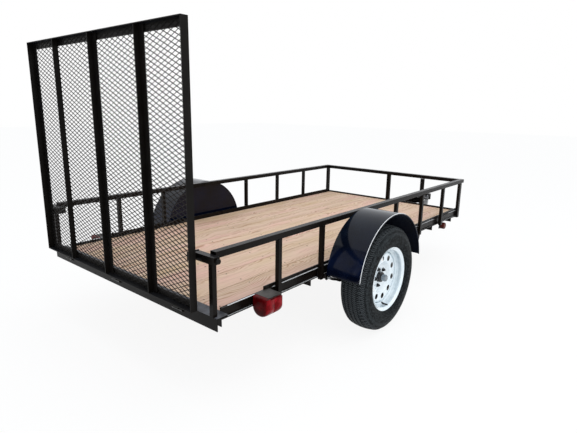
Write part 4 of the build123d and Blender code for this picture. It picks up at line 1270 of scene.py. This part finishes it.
# %% Fender edges
BEAD_LINE = 0.0022             # radius of the painted highlight line on the rolled edge
BEAD_IN = 0.005                # the rolled edge's middle, in from the fender's outline
LINE_TILT = math.radians(38.0)  # how far outward from the top of the edge the line lies
LINE_END = math.radians(52.0)  # the line fades out here, in front of the wheel
FADE = 0.35                    # radians over which the line thins out
THINNEST = 0.05                # share of its thickness that is left there
LINE_SIDES = 8
LINE_FROM = BEAD_IN - BEAD_LINE * 0.7    # the line's middle, from the rolled edge's middle
LINE_FOOT = 0.002              # it starts this far above the fender's foot


def arch_line(centre, radius, y, lowest, thick, steps=72):
    """A round bar that follows a fender's arch from its rear foot and thins out past its top."""
    foot = math.pi - math.asin((lowest - centre.z) / radius)
    points = []
    for step in range(steps + 1):
        angle = LINE_END + (foot - LINE_END) * step / steps
        spoke = Vector((math.cos(angle), 0.0, math.sin(angle)))
        here = thick * max(THINNEST, min(1.0, (angle - LINE_END) / FADE))
        for turn in range(LINE_SIDES):
            lean = 2 * math.pi * turn / LINE_SIDES
            points.append(centre + spoke * (radius + here * math.cos(lean))
                          + Vector((0.0, y + here * math.sin(lean), 0.0)))
    return points, capped_skin(steps + 1, LINE_SIDES)


lines = []
for side, hand in SIDES:
    low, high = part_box(f"fender_{side}")
    half, rise = (high.x - low.x) / 2, high.z - low.z
    radius = (half * half + rise * rise) / (2 * rise)
    centre = Vector(((low.x + high.x) / 2, 0.0, high.z - radius))
    outer = high.y if hand > 0 else low.y
    lines.append(arch_line(centre, radius - BEAD_IN + LINE_FROM * math.cos(LINE_TILT),
                           outer - hand * (BEAD_IN - LINE_FROM * math.sin(LINE_TILT)),
                           low.z + LINE_FOOT, BEAD_LINE))
# Painted highlight along each fender's rolled edge.
add_piece("fender_edge_lines", *gathered(lines), bead_highlight, "galvanized_steel", "chassis", smooth=True)
print("fender edge lines:", len(lines), "arch radius", round(radius, 4))

# %% [markdown]
# ## Floor, sky and light
# The trailer stands on a pale floor under an overcast sky. A white background is a
# colour, not more light: rays from the camera, mirror reflections and clear plastic
# see a plain white world, and only the scattered light comes from a soft, slightly
# blue sky. The floor mixes its own white with what it really receives, so the
# shadow stays, but faintly. For scattered light it is a little darker, as a yard is, so
# that the undersides stay dark. A large lamp overhead gives the top faces their edge, and
# one beside the trailer lifts its wheels.

# %% Floor
FLOOR_HALF = 30.0
FLOOR_OWN_WHITE = 0.89         # share of its own white, against the light it receives
FLOOR_SEEN = (0.97, 0.97, 0.97)
FLOOR_LIT = (0.72, 0.72, 0.72)           # for scattered light
floor_mesh = bpy.data.meshes.new("floor")
floor_mesh.from_pydata([(-FLOOR_HALF, -FLOOR_HALF, 0), (FLOOR_HALF, -FLOOR_HALF, 0),
                        (FLOOR_HALF, FLOOR_HALF, 0), (-FLOOR_HALF, FLOOR_HALF, 0)], [], [(0, 1, 2, 3)])
floor = bpy.data.objects.new("floor", floor_mesh)
bpy.context.scene.collection.objects.link(floor)


def seen_directly(tree):
    """One for rays from the camera, from a mirror reflection or through clear plastic."""
    path = add_node(tree, "ShaderNodeLightPath", {})
    either = maths(tree, "MAXIMUM", path.outputs["Is Camera Ray"], path.outputs["Is Glossy Ray"])
    return maths(tree, "MAXIMUM", either, path.outputs["Is Transmission Ray"])


floor_paint, tree, shader = new_finish("floor_paint")
direct = seen_directly(tree)
shown = blend(tree, direct, FLOOR_LIT, FLOOR_SEEN)
fill(tree, shader, {"Base Color": shown, "Roughness": 0.9, "Specular IOR Level": 0.0})
glow = add_node(tree, "ShaderNodeEmission", {"Color": (1.0, 1.0, 1.0, 1.0), "Strength": 1.0})
mixed = add_node(tree, "ShaderNodeMixShader", {0: times(tree, direct, FLOOR_OWN_WHITE),
                                               1: shader.outputs["BSDF"], 2: glow.outputs["Emission"]})
tree.links.new(mixed.outputs["Shader"], tree.nodes["Material Output"].inputs["Surface"])
floor_mesh.materials.append(floor_paint)
print("floor half", FLOOR_HALF, "own white", FLOOR_OWN_WHITE)

# %% Sky and lamp
SKY_STRENGTH = 0.92
world = bpy.data.worlds.new("overcast")
bpy.context.scene.world = world
world.use_nodes = True
tree = world.node_tree
sky = add_node(tree, "ShaderNodeBackground", {"Color": (0.90, 0.95, 1.0, 1.0), "Strength": SKY_STRENGTH})
plain = add_node(tree, "ShaderNodeBackground", {"Color": (1.0, 1.0, 1.0, 1.0), "Strength": 1.0})
mixed = add_node(tree, "ShaderNodeMixShader", {0: seen_directly(tree), 1: sky.outputs["Background"],
                                               2: plain.outputs["Background"]})
tree.links.new(mixed.outputs["Shader"], tree.nodes["World Output"].inputs["Surface"])


def add_lamp(title, at, aim, size, power, colour):
    """A square area lamp at a place, turned to face a point."""
    lamp = bpy.data.objects.new(title, bpy.data.lights.new(title, "AREA"))
    lamp.data.size = size
    lamp.data.energy = power
    lamp.data.color = colour
    lamp.location = at
    lamp.rotation_euler = (Vector(aim) - Vector(at)).to_track_quat("-Z", "Y").to_euler()
    lamp.visible_glossy = False
    bpy.context.scene.collection.objects.link(lamp)


middle = (solid_box[0] + solid_box[1]) / 2
add_lamp("overhead", (middle.x - 1.0, -1.5, 5.5), (middle.x, 0.0, 0.5), 4.5, 90.0, (1.0, 0.98, 0.95))
add_lamp("side", (middle.x - 2.0, -6.5, 2.6), (middle.x - 0.8, 0.0, 0.4), 4.0, 80.0, (0.96, 0.98, 1.0))

# %% Finish
print("solids", [tuple(round(v, 4) for v in corner) for corner in solid_box])
